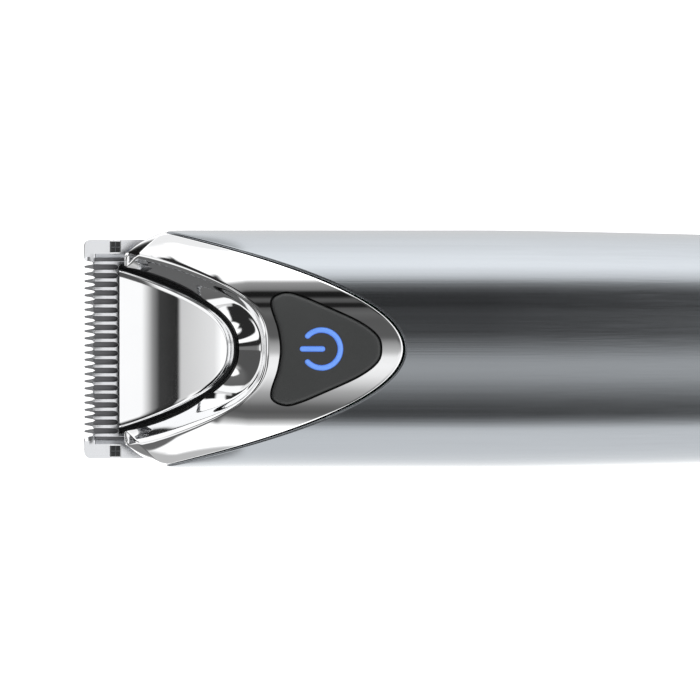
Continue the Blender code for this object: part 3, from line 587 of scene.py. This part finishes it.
def buttonRing(margin, depth, share=1):
    middle = atX(button["centre"])
    ring = []
    for point in buttonLoop(margin):
        x, y = middle + (point.x - middle) * share, point.y * share
        ring.append(Vector((x, y, skinHeight(x - tipX, y) - depth)))
    return ring


def strokeOutline(place, length, half):
    # a line of even width with round ends: down one side and back up the other
    turns = spread(symbol["tipTurn"], math.pi / 2, symbol["tipSteps"])
    tips = [half * (1 - math.cos(turn)) for turn in turns]
    between = spread(half, length - half, symbol["steps"])[1:-1]
    along = tips + between + [length - tip for tip in reversed(tips)]
    reach = [math.sqrt(half ** 2 - max(0, half - min(d, length - d)) ** 2) for d in along]
    return ([place(d, r) for d, r in zip(along, reach)]
            + [place(d, -r) for d, r in reversed(list(zip(along, reach)))])


def symbolOutlines(margin):
    middle, radius = atX(button["centre"]), symbol["radius"]
    half = symbol["stroke"] / 2 + margin
    sweep = math.pi - math.radians(symbol["opening"])
    left = middle - radius - half

    def onRing(distance, sideways):
        angle = sweep + (margin - distance) / radius
        return middle + (radius + sideways) * math.cos(angle), (radius + sideways) * math.sin(angle)

    def onBar(distance, sideways):
        return left + distance, -sideways

    return [strokeOutline(onRing, 2 * (sweep * radius + margin), half),
            strokeOutline(onBar, middle + symbol["barEnd"] + margin - left, half)]


def buildButton():
    flange, flangeTop, edge, proud = (button[key] for key in ("flange", "flangeTop", "edge", "proud"))
    under = [buttonRing(flange, button["bottom"], share) for share in (0.02, 0.5, 1)]
    side = [buttonRing(flange, flangeTop), buttonRing(0, flangeTop)]
    rim = [buttonRing(-offset, inset - proud) for offset, inset in quarter(edge, 6)]
    top = [buttonRing(-edge, -proud, share) for share in spread(0.94, 0.02, 15)]
    bm = lathe(under + side + rim + top)
    bmesh.ops.holes_fill(bm, edges=[e for e in bm.edges if e.is_boundary], sides=0)
    bmesh.ops.recalc_face_normals(bm, faces=bm.faces[:])
    spot = Matrix.Translation((atX(button["centre"]), 0, button["pocketHeight"]))
    pocket = rod(button["pocketRadius"], button["pocketDepth"], spot)
    slots = [plate(outline, *button["slots"]) for outline in symbolOutlines(symbol["clear"])]
    finishPiece(bm, "powerButton", "button", "buttonRubber", ["power_button"],
                cutters=[pocket] + slots)


def ribbon(outline):
    # the band between an outline's two halves, with rounded edges and closed ends
    half = len(outline) // 2
    pairs = [(Vector(a), Vector(b)) for a, b in zip(outline[:half], reversed(outline[half:]))]
    bump, edge, knuckle = symbol["proud"], symbol["edge"], symbol["knuckle"]
    edgeShare = edge / symbol["stroke"]
    profile = [(0, symbol["depth"]), (0, edge), (edgeShare * knuckle, edge * knuckle), (edgeShare, 0)]
    profile += [(share, 0) for share in (0.35, 0.5, 0.65)]
    profile += [(1 - share, depth) for share, depth in reversed(profile[:4])]
    rings = []
    for a, b in pairs:
        flat = [a.lerp(b, share) for share, _ in profile]
        rings.append([Vector((p.x, p.y, skinHeight(p.x - tipX, p.y) + bump - depth))
                      for p, (_, depth) in zip(flat, profile)])
    ends = [[sum(ring, Vector()) / len(profile)] * len(profile) for ring in (rings[0], rings[-1])]
    return lathe([ends[0]] + rings + [ends[1]])


def buildSymbol():
    for outline, name in zip(symbolOutlines(0), ("powerRing", "powerBar")):
        nodes = ["power_light_guide"] if name == "powerRing" else []
        finishPiece(ribbon(outline), name, "button", "blueLight", nodes)
    for name, (radius, thick, station, height, facets) in lightParts.items():
        bm = rod(radius, thick, Matrix.Translation((atX(station), 0, height)), facets)
        soften(bm, 0.1)
        finishPiece(bm, name, "button", "blueLight", [])


buildButton()
buildSymbol()
print("button done")


# the scoop's three curves
scoop = {
    # each curve: its tip's station, and its reach as a factor and a power of the distance from there
    "crease": (30.9, 4.94, 0.373), "seam": (26.5, 3.78, 0.4366), "floorEdge": (24.2, 3.51, 0.447),
    "radius": 38.4, "station": -6.93, "height": 46.38, "curl": 2, "front": 6.2, "gap": 0.3, "wall": 0.6,
    "samples": 400, "rows": 91, "bandColumns": 12, "floorColumns": 28, "edgeDrops": (0.02, 0.12, 0.9),
    "frontDrops": (0.04, 0.15, 0.9), "frontReach": (0.1, 0.15, 0.15),
    "seamShadeReach": 0.4, "steep": 0.3,  # which faces of the seam get the painted shade
}


def curveStation(curve, y):
    tip, coefficient, power = scoop[curve]
    return tip - (abs(y) / coefficient) ** (1 / power)


def curveReach(curve, station):
    tip, coefficient, power = scoop[curve]
    return coefficient * max(0, tip - station) ** power


def floorHeight(station):
    return scoop["height"] - math.sqrt(scoop["radius"] ** 2 - (station - scoop["station"]) ** 2)


def seamHeight(station):
    return floorHeight(station) + scoop["curl"]


def curvePath(curve, lastStation, height):
    path = []
    for y in spread(0, curveReach(curve, lastStation), scoop["samples"]):
        station = curveStation(curve, y)
        path.append([Vector((atX(station), y, height(station))), station, y])
    return path


# the bezel
def lowAngle(station):
    reach = handle["midHeight"] - back(station) + handle["overshoot"]
    return -math.asin(((handle["midHeight"] - bezel["lowEdge"]) / reach) ** (handle["backPower"] / 2))


def bezelOuterPath():
    start = bezel["sleeveStart"] - bezel["tuck"]
    reachY = math.sqrt(bezel["bluntness"] * (bezel["tip"] - start))
    path = []
    for y in spread(0, reachY, bezel["samples"]):
        station = parabolaStation(y)
        path.append([station, skinAngle(station, y)])
    for angle in spread(path[-1][1], lowAngle(start), bezel["cornerSamples"])[1:]:
        path.append([start, angle])
    for station in spread(start, bezel["front"], bezel["armSamples"])[1:]:
        path.append([station, lowAngle(station)])
    return [[skinPoint(s, a), s, a] for s, a in path]


def bezelInnerPath():
    path = []
    for y in spread(0, curveReach("crease", bezel["front"]), bezel["samples"]):
        station = curveStation("crease", y)
        angle = skinAngle(station, min(y, bezel["creaseLimit"] * halfWidth(station)))
        path.append([skinPoint(station, angle), station, angle])
    return path


def bend(start, corner, end, steps):
    turns = spread(0, 1, steps + 1)[1:]
    return [start * (1 - t) ** 2 + corner * 2 * t * (1 - t) + end * t ** 2 for t in turns]


def chamfered(point):
    # the arm's blunt end: a slanting face cut across its outer corner
    start, end = (Vector((atX(s), y)) for s, y in bezel["chamfer"])
    along = (end - start).normalized()
    away = (abs(point.y) - start.y) * along.x - (point.x - start.x) * along.y
    drop = max(0, away + bezel["chamferWidth"]) * bezel["chamferSlope"]
    return Vector((point.x, point.y, max(point.z - drop, min(point.z, bezel["chamferFloor"]))))


def stepFoot(corner, fall, share):
    # the foot of the step; from the tip to the arms its proportions change
    step = min(1, max(0, (share - bezel["blendFrom"]) / bezel["blendRun"]))
    step = step * step * (3 - 2 * step)
    run, drop = (a + (b - a) * step for a, b in (bezel["stepRun"], bezel["stepDrop"]))
    return corner + Vector((fall.x * run, fall.y * run, fall.z * drop))


def closeArm(last):
    # rings that round off the arm's blunt end
    middle = sum(last, Vector()) / len(last)
    depth = bezel["front"] - bezel["armEnd"]
    rings = []
    for turn in spread(0, math.pi / 2, bezel["endRows"])[1:]:
        shrink = depth * (1 - math.cos(turn))
        ring = []
        for point in last:
            inward = middle - point
            moved = point + inward * min(1, shrink / max(inward.length, 1e-6))
            moved.x = atX(bezel["front"]) - depth * math.sin(turn)
            ring.append(moved)
        rings.append(ring)
    return rings + [[Vector((atX(bezel["armEnd"]), middle.y, middle.z))] * len(last)]


def bezelColumns():
    count = bezel["columns"] + 1
    outer = evenly(bezelOuterPath(), count)
    inner = evenly(bezelInnerPath(), count)
    seam = evenly(curvePath("seam", bezel["front"], seamHeight), count)
    columns = []
    for (_, outS, outA), (_, inS, inA), (seamPoint, _, _) in zip(outer, inner, seam):
        reach = (skinPoint(outS, outA) - skinPoint(inS, inA)).length

        def across(offset, inset=0):
            share = min(1, offset / reach)
            return skinPoint(outS + (inS - outS) * share, outA + (inA - outA) * share, inset)

        column = [across(offset, inset) for offset, inset in quarter(bezel["roll"], 4)]
        lip = min(bezel["lip"], reach * bezel["lipShare"])
        offsets = spread(bezel["roll"], reach - lip, bezel["skinRows"] + 1)
        column += [across(offset) for offset in offsets[1:]]
        # a steep step down from the crease, then a shelf that slopes to the seam
        corner = skinPoint(inS, inA)
        foot = stepFoot(corner, seamPoint - corner, len(columns) / (count - 1))
        column += bend(column[-1], corner, corner.lerp(foot, 0.5), bezel["lipRows"])
        shelf = foot.lerp(seamPoint, bezel["shelfStart"])
        column += bend(column[-1], foot, shelf, bezel["footRows"])
        column += [shelf.lerp(seamPoint, t) for t in spread(0, 1, bezel["wallRows"] + 1)[1:]]
        column += [seamPoint + Vector((0, 0, -sunk)) for sunk in bezel["seamEdge"]]
        columns.append([chamfered(point) for point in column])
    return columns + closeArm(columns[-1])


# painted shade: the black plastic stands for the shade in the seam between the bezel and the cover
chromeAndPaintedSeamShade = ("polishedChrome", "blackPlastic")


def paintSeamShade(bm):
    # painted shade: the two steep faces of the seam see nothing but each other, so they get the black
    # plastic
    for face in bm.faces:
        middle = face.calc_center_median()
        inner = abs(middle.y) < curveReach("seam", middle.x - tipX) + scoop["seamShadeReach"]
        face.material_index = 1 if inner and face.normal.z < scoop["steep"] else 0


def buildBezel():
    columns = bezelColumns()
    side = len(columns) - 1

    def place(row, column):
        point = columns[abs(row - side)][column].copy()
        if row < side:
            point.y = -point.y
        return point

    bm = sheet(2 * side, len(columns[0]) - 1, place)
    faceUp(bm)
    paintSeamShade(bm)
    hole = plate(buttonLoop(bezel["buttonGap"]), *bezel["hole"])
    finishPiece(bm, "frontBezel", "handle", chromeAndPaintedSeamShade, ["front_bezel"],
                wall=bezel["wall"], cutters=[hole])


buildBezel()
print("bezel done")


# the scoop
def buildCover():
    count, band, edge, front = (scoop[key] for key in ("rows", "bandColumns", "edgeDrops", "front"))
    inner = evenly(curvePath("floorEdge", front, floorHeight), count)
    outer = evenly(curvePath("seam", front, seamHeight), count)
    total = 2 * (band + len(edge)) + scoop["floorColumns"]

    def bandPoint(t, share):
        (_, s0, y0), (_, s1, y1) = inner[t], outer[t]
        side = outer[min(t + 1, count - 1)][0] - outer[max(t - 1, 0)][0]
        out = Vector((side.y, -side.x, 0)).normalized()
        station, y = s0 + (s1 - s0) * share, y0 + (y1 - y0) * share
        height = floorHeight(station) + scoop["curl"] * share ** 2
        return Vector((atX(station), y, height)) + out * -scoop["gap"] * share

    def place(row, column):
        t = min(row, count - 1)
        spot = column if column <= total / 2 else total - column
        drop = 0
        if spot < len(edge):
            drop = edge[len(edge) - 1 - spot]
            point = bandPoint(t, 1)
        elif spot < len(edge) + band:
            point = bandPoint(t, 1 - (spot - len(edge)) / band)
        else:
            share = 1 - (spot - len(edge) - band) / (scoop["floorColumns"] / 2)
            _, station, y = inner[t]
            point = Vector((atX(station), y * share, floorHeight(station)))
        if column <= total / 2:
            point.y = -point.y
        point.z -= drop
        over = row - count
        if over >= 0:
            point.z -= scoop["frontDrops"][over]
            point.x -= scoop["frontReach"][over]
        point.x = max(point.x, atX(front) - scoop["frontReach"][-1])
        return point

    bm = sheet(count - 1 + len(scoop["frontDrops"]), total, place)
    faceUp(bm)
    paintSeamShade(bm)
    finishPiece(bm, "headCover", "blade_head", chromeAndPaintedSeamShade, ["head_cover"],
                wall=scoop["wall"])


buildCover()
print("scoop done")


# the blades
blade = {
    "height": 7.5, "tilt": 10, "halfWidth": 18.35, "depth": 13.8, "thick": 1, "pitch": 1.2, "gaps": 25,
    "root": 1.9, "bevel": 1.5, "tipThick": 0.35, "tipSet": 0.14, "corner": 1, "toothed": 15.2,
    "earLines": 6, "screwAt": 11, "screwSide": 12.4, "screwHole": 1.15, "holeDepth": 5, "edge": 0.05,
    "gapShape": ((0, 0.44), (0.25, 0.4), (1, 0.27), (1.6, 0.15), (1.9, 0)),
    "channel": (1.55, 7, 0.6),  # a hollow under the moving teeth: from, to, height
    "rows": (0, 0.12, 0.25, 0.45, 0.7, 1, 1.3, 1.5, 1.6, 1.75, 1.9, 2, 4, 6.9, 7.05, 9, 11, 12.8, 13.1,
             13.4, 13.6, 13.72, 13.8),
}
cutter = {
    "halfWidth": 14.7, "bottom": 1.15, "thick": 0.8, "pitch": 1.445, "gaps": 20, "tip": 1.3, "root": 5.55,
    "shoulder": 4.6, "halfGap": 0.44, "tipGap": 0.1, "tipRun": 0.35, "tipDrop": 0.25, "tipEnd": 1.5,
    "tang": 6.55, "tangStart": 7.2, "pastGaps": 8, "endTaper": 0.2, "edge": 0.06,
    "rows": (1.3, 1.45, 1.65, 3.1, 4.6, 4.9, 5.15, 5.35, 5.48, 5.55, 6.3, 7.2, 9, 11, 13.4),
}
catch = {
    "station": 5.2, "side": 17.15, "length": 1.9, "width": 2.1, "proud": 0.12, "groove": 0.2, "clear": 0.1,
    "raise": 0.14,
}
bladeFrame = (Matrix.Translation((tipX, 0, blade["height"]))
              @ Matrix.Rotation(math.radians(blade["tilt"]), 4, "Y"))


def combLines(comb, gapHalf, outerEdge, earShares):
    # the comb's lines from -Y to +Y, each a function of the station, and the columns that are gaps
    count, pitch = comb["gaps"], comb["pitch"]

    def side(i, sign):
        return lambda u: (i - (count - 1) / 2) * pitch + sign * gapHalf(u)

    def between(first, second, share):
        return lambda u: first(u) * (1 - share) + second(u) * share

    lines = [between(lambda u: -outerEdge(u), side(0, -1), share) for share in earShares]
    gaps = []
    for i in range(count):
        gaps.append(len(lines) - 1)
        lines.append(side(i, 1))
        if i < count - 1:
            lines += [between(side(i, 1), side(i + 1, -1), 0.5), side(i + 1, -1)]
    lines += [between(side(count - 1, 1), outerEdge, 1 - share) for share in reversed(earShares[:-1])]
    return lines, set(gaps)


def boxMesh(low, high):
    bm = bmesh.new()
    bmesh.ops.create_cube(bm, size=1)
    bmesh.ops.scale(bm, vec=[h - l for l, h in zip(low, high)], verts=bm.verts[:])
    move(bm, [(h + l) / 2 for l, h in zip(low, high)])
    return bm


def placeOnBlade(bm):
    bmesh.ops.transform(bm, matrix=bladeFrame, verts=bm.verts[:])
    return bm


def buildFixedBlade():
    rows, edge, thick, bevel = (blade[key] for key in ("rows", "corner", "thick", "bevel"))
    channelStart, channelEnd, channelHeight = blade["channel"]

    def gapHalf(u):
        return alongSteps(blade["gapShape"], u)

    def outerEdge(u):
        into = max(0, edge - u, edge - (blade["depth"] - u))
        return blade["halfWidth"] - edge + math.sqrt(edge ** 2 - into ** 2)

    lines, gaps = combLines(blade, gapHalf, outerEdge, spread(0, 1, blade["earLines"]))
    tips = {c for c in range(len(lines)) if c in gaps or c - 1 in gaps}

    def place(row, column):
        setBack = blade["tipSet"] if row == 0 and column in tips else 0
        return Vector((rows[row] + setBack, lines[column](rows[row]), 0))

    def inChannel(spot):
        return channelStart < spot.x < channelEnd and abs(spot.y) < blade["toothed"]

    def height(spot):
        if inChannel(spot):
            return channelHeight
        if abs(spot.y) < blade["toothed"] and spot.x < bevel:
            return blade["tipThick"] + (thick - blade["tipThick"]) * spot.x / bevel
        return thick

    bm = sheet(len(rows) - 1, len(lines) - 1, place,
               lambda row, column: column in gaps and rows[row] < blade["root"])
    raiseTop(bm, height)
    soften(bm, blade["edge"], 1, 50)
    # painted shade: the channel's floor under the moving teeth gets the darker steel, for the shade between
    # the teeth
    for face in bm.faces:
        middle = face.calc_center_median()
        dark = inChannel(middle) and 0.1 < middle.z < channelHeight + 0.1
        face.material_index = 1 if dark else 0
    cutters = []
    for sign in (-1, 1):
        spot = Matrix.Translation((blade["screwAt"], sign * blade["screwSide"], thick / 2))
        middle, side = catch["station"], sign * catch["side"]
        half, wide = catch["length"] / 2, catch["width"] / 2
        window = boxMesh((middle - half, side - wide, -thick), (middle + half, side + wide, 3 * thick))
        hole = rod(blade["screwHole"], blade["holeDepth"], spot, 40)
        cutters += [placeOnBlade(hole), placeOnBlade(window)]
    finishPiece(placeOnBlade(bm), "fixedBlade", "blade_head", ("groundSteel", "paintedShadeSteel"), ["fixed_blade"],
                cutters=cutters, sharp=20)


def buildMovingBlade():
    rows, root, half, shoulder = (cutter[key] for key in ("rows", "root", "halfGap", "shoulder"))
    tipRun, taper = cutter["tipRun"], cutter["endTaper"]

    def gapHalf(u):
        if u < shoulder:
            return half + cutter["tipGap"] * max(0, cutter["tip"] + tipRun - u) / tipRun
        into = min(1, (u - shoulder) / (root - shoulder))
        return half * math.sqrt(1 - into ** 2)

    def outerEdge(u):
        past = max(0, cutter["tip"] + taper - u, u - cutter["tangStart"] + taper)
        return cutter["halfWidth"] - taper * past

    lines, gaps = combLines(cutter, gapHalf, outerEdge, (0, 1))

    def skip(row, column):
        u = (rows[row] + rows[row + 1]) / 2
        y = (lines[column](cutter["pastGaps"]) + lines[column + 1](cutter["pastGaps"])) / 2
        return (column in gaps and u < root) or (u > cutter["tangStart"] and abs(y) > cutter["tang"])

    def height(spot):
        return cutter["thick"] - (0 if spot.x > cutter["tipEnd"] else cutter["tipDrop"])

    bm = sheet(len(rows) - 1, len(lines) - 1,
               lambda row, column: Vector((rows[row], lines[column](rows[row]), 0)), skip)
    raiseTop(bm, height)
    move(bm, (0, 0, cutter["bottom"]))
    soften(bm, cutter["edge"], 2, 50)
    finishPiece(placeOnBlade(bm), "movingBlade", "cutter", "groundSteel", ["moving_blade"],
                sharp=20)


def buildCatches():
    clear = catch["clear"]
    half, wide = catch["length"] / 2 - clear, catch["width"] / 2 - clear
    for sign, node in ((-1, "comb_catch_left"), (1, "comb_catch_right")):
        bm = boxMesh((-half, -wide, -clear), (half, wide, blade["thick"] + catch["proud"]))
        edges = [e for f in bm.faces if f.normal.z > 0.9 for e in f.edges]
        bmesh.ops.subdivide_edges(bm, edges=edges, cuts=1, use_grid_fill=True)
        squares = [f for f in bm.faces if f.normal.z > 0.9]
        bmesh.ops.inset_individual(bm, faces=squares, thickness=catch["groove"] / 2, use_even_offset=True)
        raised = [f for f in squares if f.is_valid]
        for face in raised:
            bmesh.ops.translate(bm, vec=(0, 0, catch["raise"]), verts=face.verts[:])
        for face in bm.faces:
            face.material_index = 1 if face.normal.z > 0.2 and face not in raised else 0
        move(bm, (catch["station"], sign * catch["side"], -clear))
        finishPiece(placeOnBlade(bm), camelName(node), "blade_head", ("blackPlastic", "greyPlastic"), [node])


buildFixedBlade()
buildMovingBlade()
buildCatches()
print("blades done")


# the end cap
cap = {
    "start": 151.4, "spigotStart": 145.5, "spigotInset": 1.3, "spigotWall": 1.4, "floor": 155.2,
    "around": 192, "roll": 0.4, "sides": (152.6, 153.6, 154.6, 155.3), "roundRows": 12,
    "recess": 4.2, "rim": 0.5, "rimEdge": ((0.04, 0.2), (0.15, 0.35), (0.3, 0.46), (0.5, 0.5)),
    "screwSide": 11.5, "screwHole": 1.9, "holeAt": 157, "holeDepth": 20,
}
seal = {"start": 150.5, "end": 151.1, "outer": 0.16, "inner": 1.1, "edgeRun": 0.12, "edgeDrop": 0.15}


capTurns = [-math.pi / 2 + 2 * math.pi * i / cap["around"] for i in range(cap["around"])]


def skinRing(station, inset):
    return [skinPoint(station, a, inset) for a in capTurns]


def roundRing(station, radius):
    middle = Vector((atX(station), 0, handle["midHeight"]))
    return [middle + Vector((0, radius * math.cos(a), radius * math.sin(a))) for a in capTurns]


def blendRing(first, second, share):
    return [a.lerp(b, share) for a, b in zip(first, second)]


def buildEndCap():
    end, start, inset = handle["length"], cap["start"], cap["spigotInset"]
    inner = inset + cap["spigotWall"]
    rings = [skinRing(cap["spigotStart"], depth) for depth in (inner, inset)] + [skinRing(start, inset)]
    rings += [skinRing(start + offset, depth) for offset, depth in quarter(cap["roll"], 4)]
    rings += [skinRing(station, 0) for station in cap["sides"]]
    rounding = handle["capRounding"]
    corner = spread(0, math.pi / 2, cap["roundRows"])
    rings += [skinRing(end - rounding + rounding * math.sin(turn), 0) for turn in corner]
    mouth = cap["recess"] + cap["rim"]
    rim = roundRing(end, mouth)
    rings += [blendRing(rings[-1], rim, share) for share in (0.3, 0.6, 1)]
    rings += [roundRing(end - depth, mouth - offset) for depth, offset in cap["rimEdge"]]
    rings.append(roundRing(cap["floor"], cap["recess"]))
    hollow = skinRing(cap["floor"], inner)
    rings += [blendRing(rings[-1], hollow, share) for share in (0.5, 1)]
    bm = lathe(rings + rings[:1])
    alongX = Matrix.Rotation(math.pi / 2, 4, "Y")
    spots = [(atX(cap["holeAt"]), sign * cap["screwSide"], handle["midHeight"]) for sign in (-1, 1)]
    holes = [rod(cap["screwHole"], cap["holeDepth"], Matrix.Translation(spot) @ alongX) for spot in spots]
    finishPiece(bm, "endCap", "handle", "blackPlastic", ["end_cap"], cutters=holes)


def buildSeal():
    start, end, outer, inner = (seal[key] for key in ("start", "end", "outer", "inner"))
    run, drop = seal["edgeRun"], seal["edgeDrop"]
    corners = [(start, inner), (start, outer + drop), (start + run, outer), (end - run, outer),
               (end, outer + drop), (end, inner), (start, inner)]
    bm = lathe([skinRing(station, inset) for station, inset in corners])
    finishPiece(bm, "capSeal", "handle", "sealRubber", ["cap_seal"])


buildEndCap()
buildSeal()
print("end cap done")


# the mechanism inside: its own shapes, with their edges broken
inside = {
    ("blackPlastic", 0.22): "head_carrier",
    ("blackPlastic", 0.2): "front_bulkhead charge_socket",
    ("blackPlastic", 0.12): "charge_controller tact_switch",
    ("greyPlastic", 0.15): "chassis_tray",
    ("whiteAcetal", 0.2): "motor_end_bell eccentric_cam",
    ("whiteAcetal", 0.15): "status_led blade_guide switch_plunger",
    ("springSteel", 0.15): "drive_pin",
    ("springSteel", 0.12): "motor_strap motor_shaft",
    ("springSteel", 0.1): "blade_screw_left blade_screw_right",
    ("springSteel", 0.08): "cap_screw_left cap_screw_right strap_screw_left strap_screw_right",
    ("springSteel", 0): "tension_spring",
    ("nickelStrip", 0.25): "smoothing_capacitor",
    ("nickelStrip", 0.12): "charge_pin",
    ("nickelStrip", 0.08): "battery_tab_front battery_tab_rear",
    ("motorSteel", 0.25): "motor_can",
    ("ferrite", 0.15): "motor_magnet_left motor_magnet_right",
    ("copperBar", 0.15): "motor_brush_left motor_brush_right commutator",
    ("copperWinding", 0.3): "armature",
    ("sinteredBronze", 0.15): "front_bearing rear_bearing",
    ("cellWrap", 0.5): "battery_cell",
    ("greenBoard", 0.1): "circuit_board",
    ("sealRubber", 0.2): "cell_foam_pad",
    ("sealRubber", 0): "motor_lead_black socket_lead_black",
    ("redInsulation", 0): "motor_lead_red socket_lead_red",
}


def refineNode(node, look, width):
    bm = bmesh.new()
    bm.from_mesh(frame["nodes"][node].data)
    bmesh.ops.scale(bm, vec=(1 / mm,) * 3, verts=bm.verts[:])
    bmesh.ops.remove_doubles(bm, verts=bm.verts[:], dist=0.001)
    bmesh.ops.dissolve_limit(bm, angle_limit=math.radians(1), verts=bm.verts[:], edges=bm.edges[:])
    if width:
        soften(bm, width, 2, 40)
    body = next(b for b, nodes in frame["record"]["behaviour"]["bodies"].items() if node in nodes)
    finishPiece(bm, camelName(node), body, look, [node], sharp=40)


for (look, width), nodes in inside.items():
    for node in nodes.split():
        refineNode(node, look, width)
print("mechanism done")


# floor, light and camera
def grey(level):
    return (level, level, level, 1)


ground = {"reach": 3000, "height": -0.02}


def floorLook(graph):
    under = graph.node("ShaderNodeNewGeometry").out("Backfacing")  # seen from below it is clear
    return {
        "Base Color": grey(0.8), "Roughness": 0.9, "Specular IOR Level": 0.1, "Alpha": 1 - under,
        "Emission Color": grey(1), "Emission Strength": 0.85,
    }


def makeFloor():
    bm = bmesh.new()
    bmesh.ops.create_grid(bm, x_segments=1, y_segments=1, size=ground["reach"])
    move(bm, (0, 0, ground["height"]))
    floor = bareObject(bm, "floor")
    floor.data.materials.append(makeMaterial("paleFloor", 0, floorLook))
    floor.visible_glossy = False  # the steel reflects the studio, and the floor stays out of it


studio = {
    # brightness by the angle from straight up towards +Y, in degrees
    "across": [(-180, 1.7), (-125, 1.75), (-90, 1.7), (-72, 1.7), (-64, 0.7), (-57, 0.16), (-50, 0.1),
               (-44, 0.14), (-38, 0.27), (-30, 0.42), (-24, 0.65), (-17, 0.9), (-10, 1), (-4, 0.95),
               (-1, 0.5), (3, 0.3), (6, 0.11), (18, 0.1), (24, 0.13), (28, 0.1), (29.5, 0.015), (33, 0.015),
               (34, 0.1), (37, 0.1), (38.5, 0.012), (43.5, 0.012), (46, 0.2), (54, 0.34), (59, 1.6),
               (75, 2.6), (125, 1.9), (180, 0.6)],
    # the same from straight up towards the blade and on down to the floor
    "ahead": [(0, 0.15), (22, 0.13), (34, 0.5), (38, 1.1), (54, 1.1), (60, 0.3), (64, 0.05), (75, 0.025),
              (77, 0.66), (100, 0.85), (107, 1.2), (119, 1.2), (124, 0.06), (150, 0.05), (180, 0.1)],
    # towards the blade and -Y, by how far to the side
    "near": [(0, 0.2), (0.02, 0.3), (0.06, 1.1), (0.31, 1.1), (0.36, 0.13), (0.66, 0.15), (1, 0.15)],
    "sideFrom": 0.66, "sideTo": 0.7, "sideShift": 14, "tilt": 0.25,
    # patches laid over these in turn: a brightness or another map, then each value that bounds the
    # patch, with where it begins and where it is in full
    "shade": 1.1, "shadePatches": [(0.01, ("down", 0.1, 0.2)), (0.16, ("down", 0.78, 0.86))],
    "nearPatches": [(0.09, ("up", 0.38, 0.55)), (0.24, ("down", 0.6, 0.7), ("side", 0.31, 0.36))],
    "aheadPatches": [
        (0.025, ("left", 0.05, 0.13)),
        (1.2, ("up", 0.5, 0.58), ("left", 0.26, 0.32), ("right", -0.5, -0.46)),
        ("shade", ("down", -0.14, -0.06), ("level", 0.04, 0.08)),
        (1.2, ("down", -0.14, -0.06), ("level", 0.25, 0.3)),
        ("near", ("right", 0.02, 0.04)),
        (1.25, ("side", 0.66, 0.7), ("down", -0.36, -0.3)),
    ],
    "acrossPatches": [
        ("ahead", ("start", 17, 23)),
        (0.95, ("down", 0.03, 0.2), ("lean", 4, 9), ("side", 0.62, 0.72), ("left", 0.1, 0.3)),
        (0.55, ("down", 0.03, 0.2), ("lean", 4, 9), ("side", 0.62, 0.72), ("right", 0.1, 0.3)),
        (1.3, ("lean", -8, -18)),
    ],
}


def patched(graph, maps, under, patches):
    for level, *edges in patches:
        mask = None
        for name, none, full in edges:
            edge = graph.between(maps[name], none, full)
            mask = mask * edge if mask else edge
        under = graph.mixColour(mask, under, maps[level] if level in maps else grey(level))
    return under


def angleRamp(graph, angle, stops):
    low, high = stops[0][0], stops[-1][0]
    spots = [((place - low) / (high - low), level) for place, level in stops]
    return graph.ramp((angle - low) / (high - low), spots)


def makeStudio():
    world = bpy.data.worlds.new("studio")
    graph = Graph(world)
    direction = graph.node("ShaderNodeTexCoord").out("Generated")
    x = graph.node("ShaderNodeSeparateXYZ", {}, {0: direction})
    y, z = x.out("Y"), x.out("Z")
    degrees = 180 / math.pi
    lean, side = (-x).apply("ARCSINE") * degrees, y.size()
    start = lean - graph.between(side, studio["sideFrom"], studio["sideTo"]) * studio["sideShift"]
    maps = {"left": y, "right": -y, "up": z, "down": -z, "side": side, "lean": lean, "start": start,
            "level": y + z * studio["tilt"]}
    maps["shade"] = patched(graph, maps, grey(studio["shade"]), studio["shadePatches"])
    near = graph.ramp(side, studio["near"])
    maps["near"] = patched(graph, maps, near, studio["nearPatches"])
    ahead = angleRamp(graph, (-x).apply("ARCTAN2", z) * degrees, studio["ahead"])
    maps["ahead"] = patched(graph, maps, ahead, studio["aheadPatches"])
    across = angleRamp(graph, y.apply("ARCTAN2", z) * degrees, studio["across"])
    light = patched(graph, maps, across, studio["acrossPatches"])
    shader = graph.node("ShaderNodeBackground", {}, {"Color": light, "Strength": 1})
    graph.node("ShaderNodeOutputWorld", {}, {"Surface": shader})
    bpy.context.scene.world = world


view = {
    "lens": 300, "sensor": 36, "centreX": -34.33, "centreY": -0.17, "focusHeight": 14.5, "width": 116.67,
    "clip": 100,
}


def makeCamera():
    data = bpy.data.cameras.new("camera")
    data.lens = view["lens"]
    data.sensor_width = view["sensor"]
    data.clip_end = view["clip"]
    camera = bpy.data.objects.new("camera", data)
    distance = view["width"] * view["lens"] / view["sensor"]
    camera.location = Vector((view["centreX"], view["centreY"], view["focusHeight"] + distance)) * mm
    bpy.context.scene.collection.objects.link(camera)
    bpy.context.scene.camera = camera


makeFloor()
makeStudio()
makeCamera()
scene = bpy.context.scene
scene.view_settings.view_transform = "Standard"
scene.view_settings.look = "None"
print("floor, light and camera done")
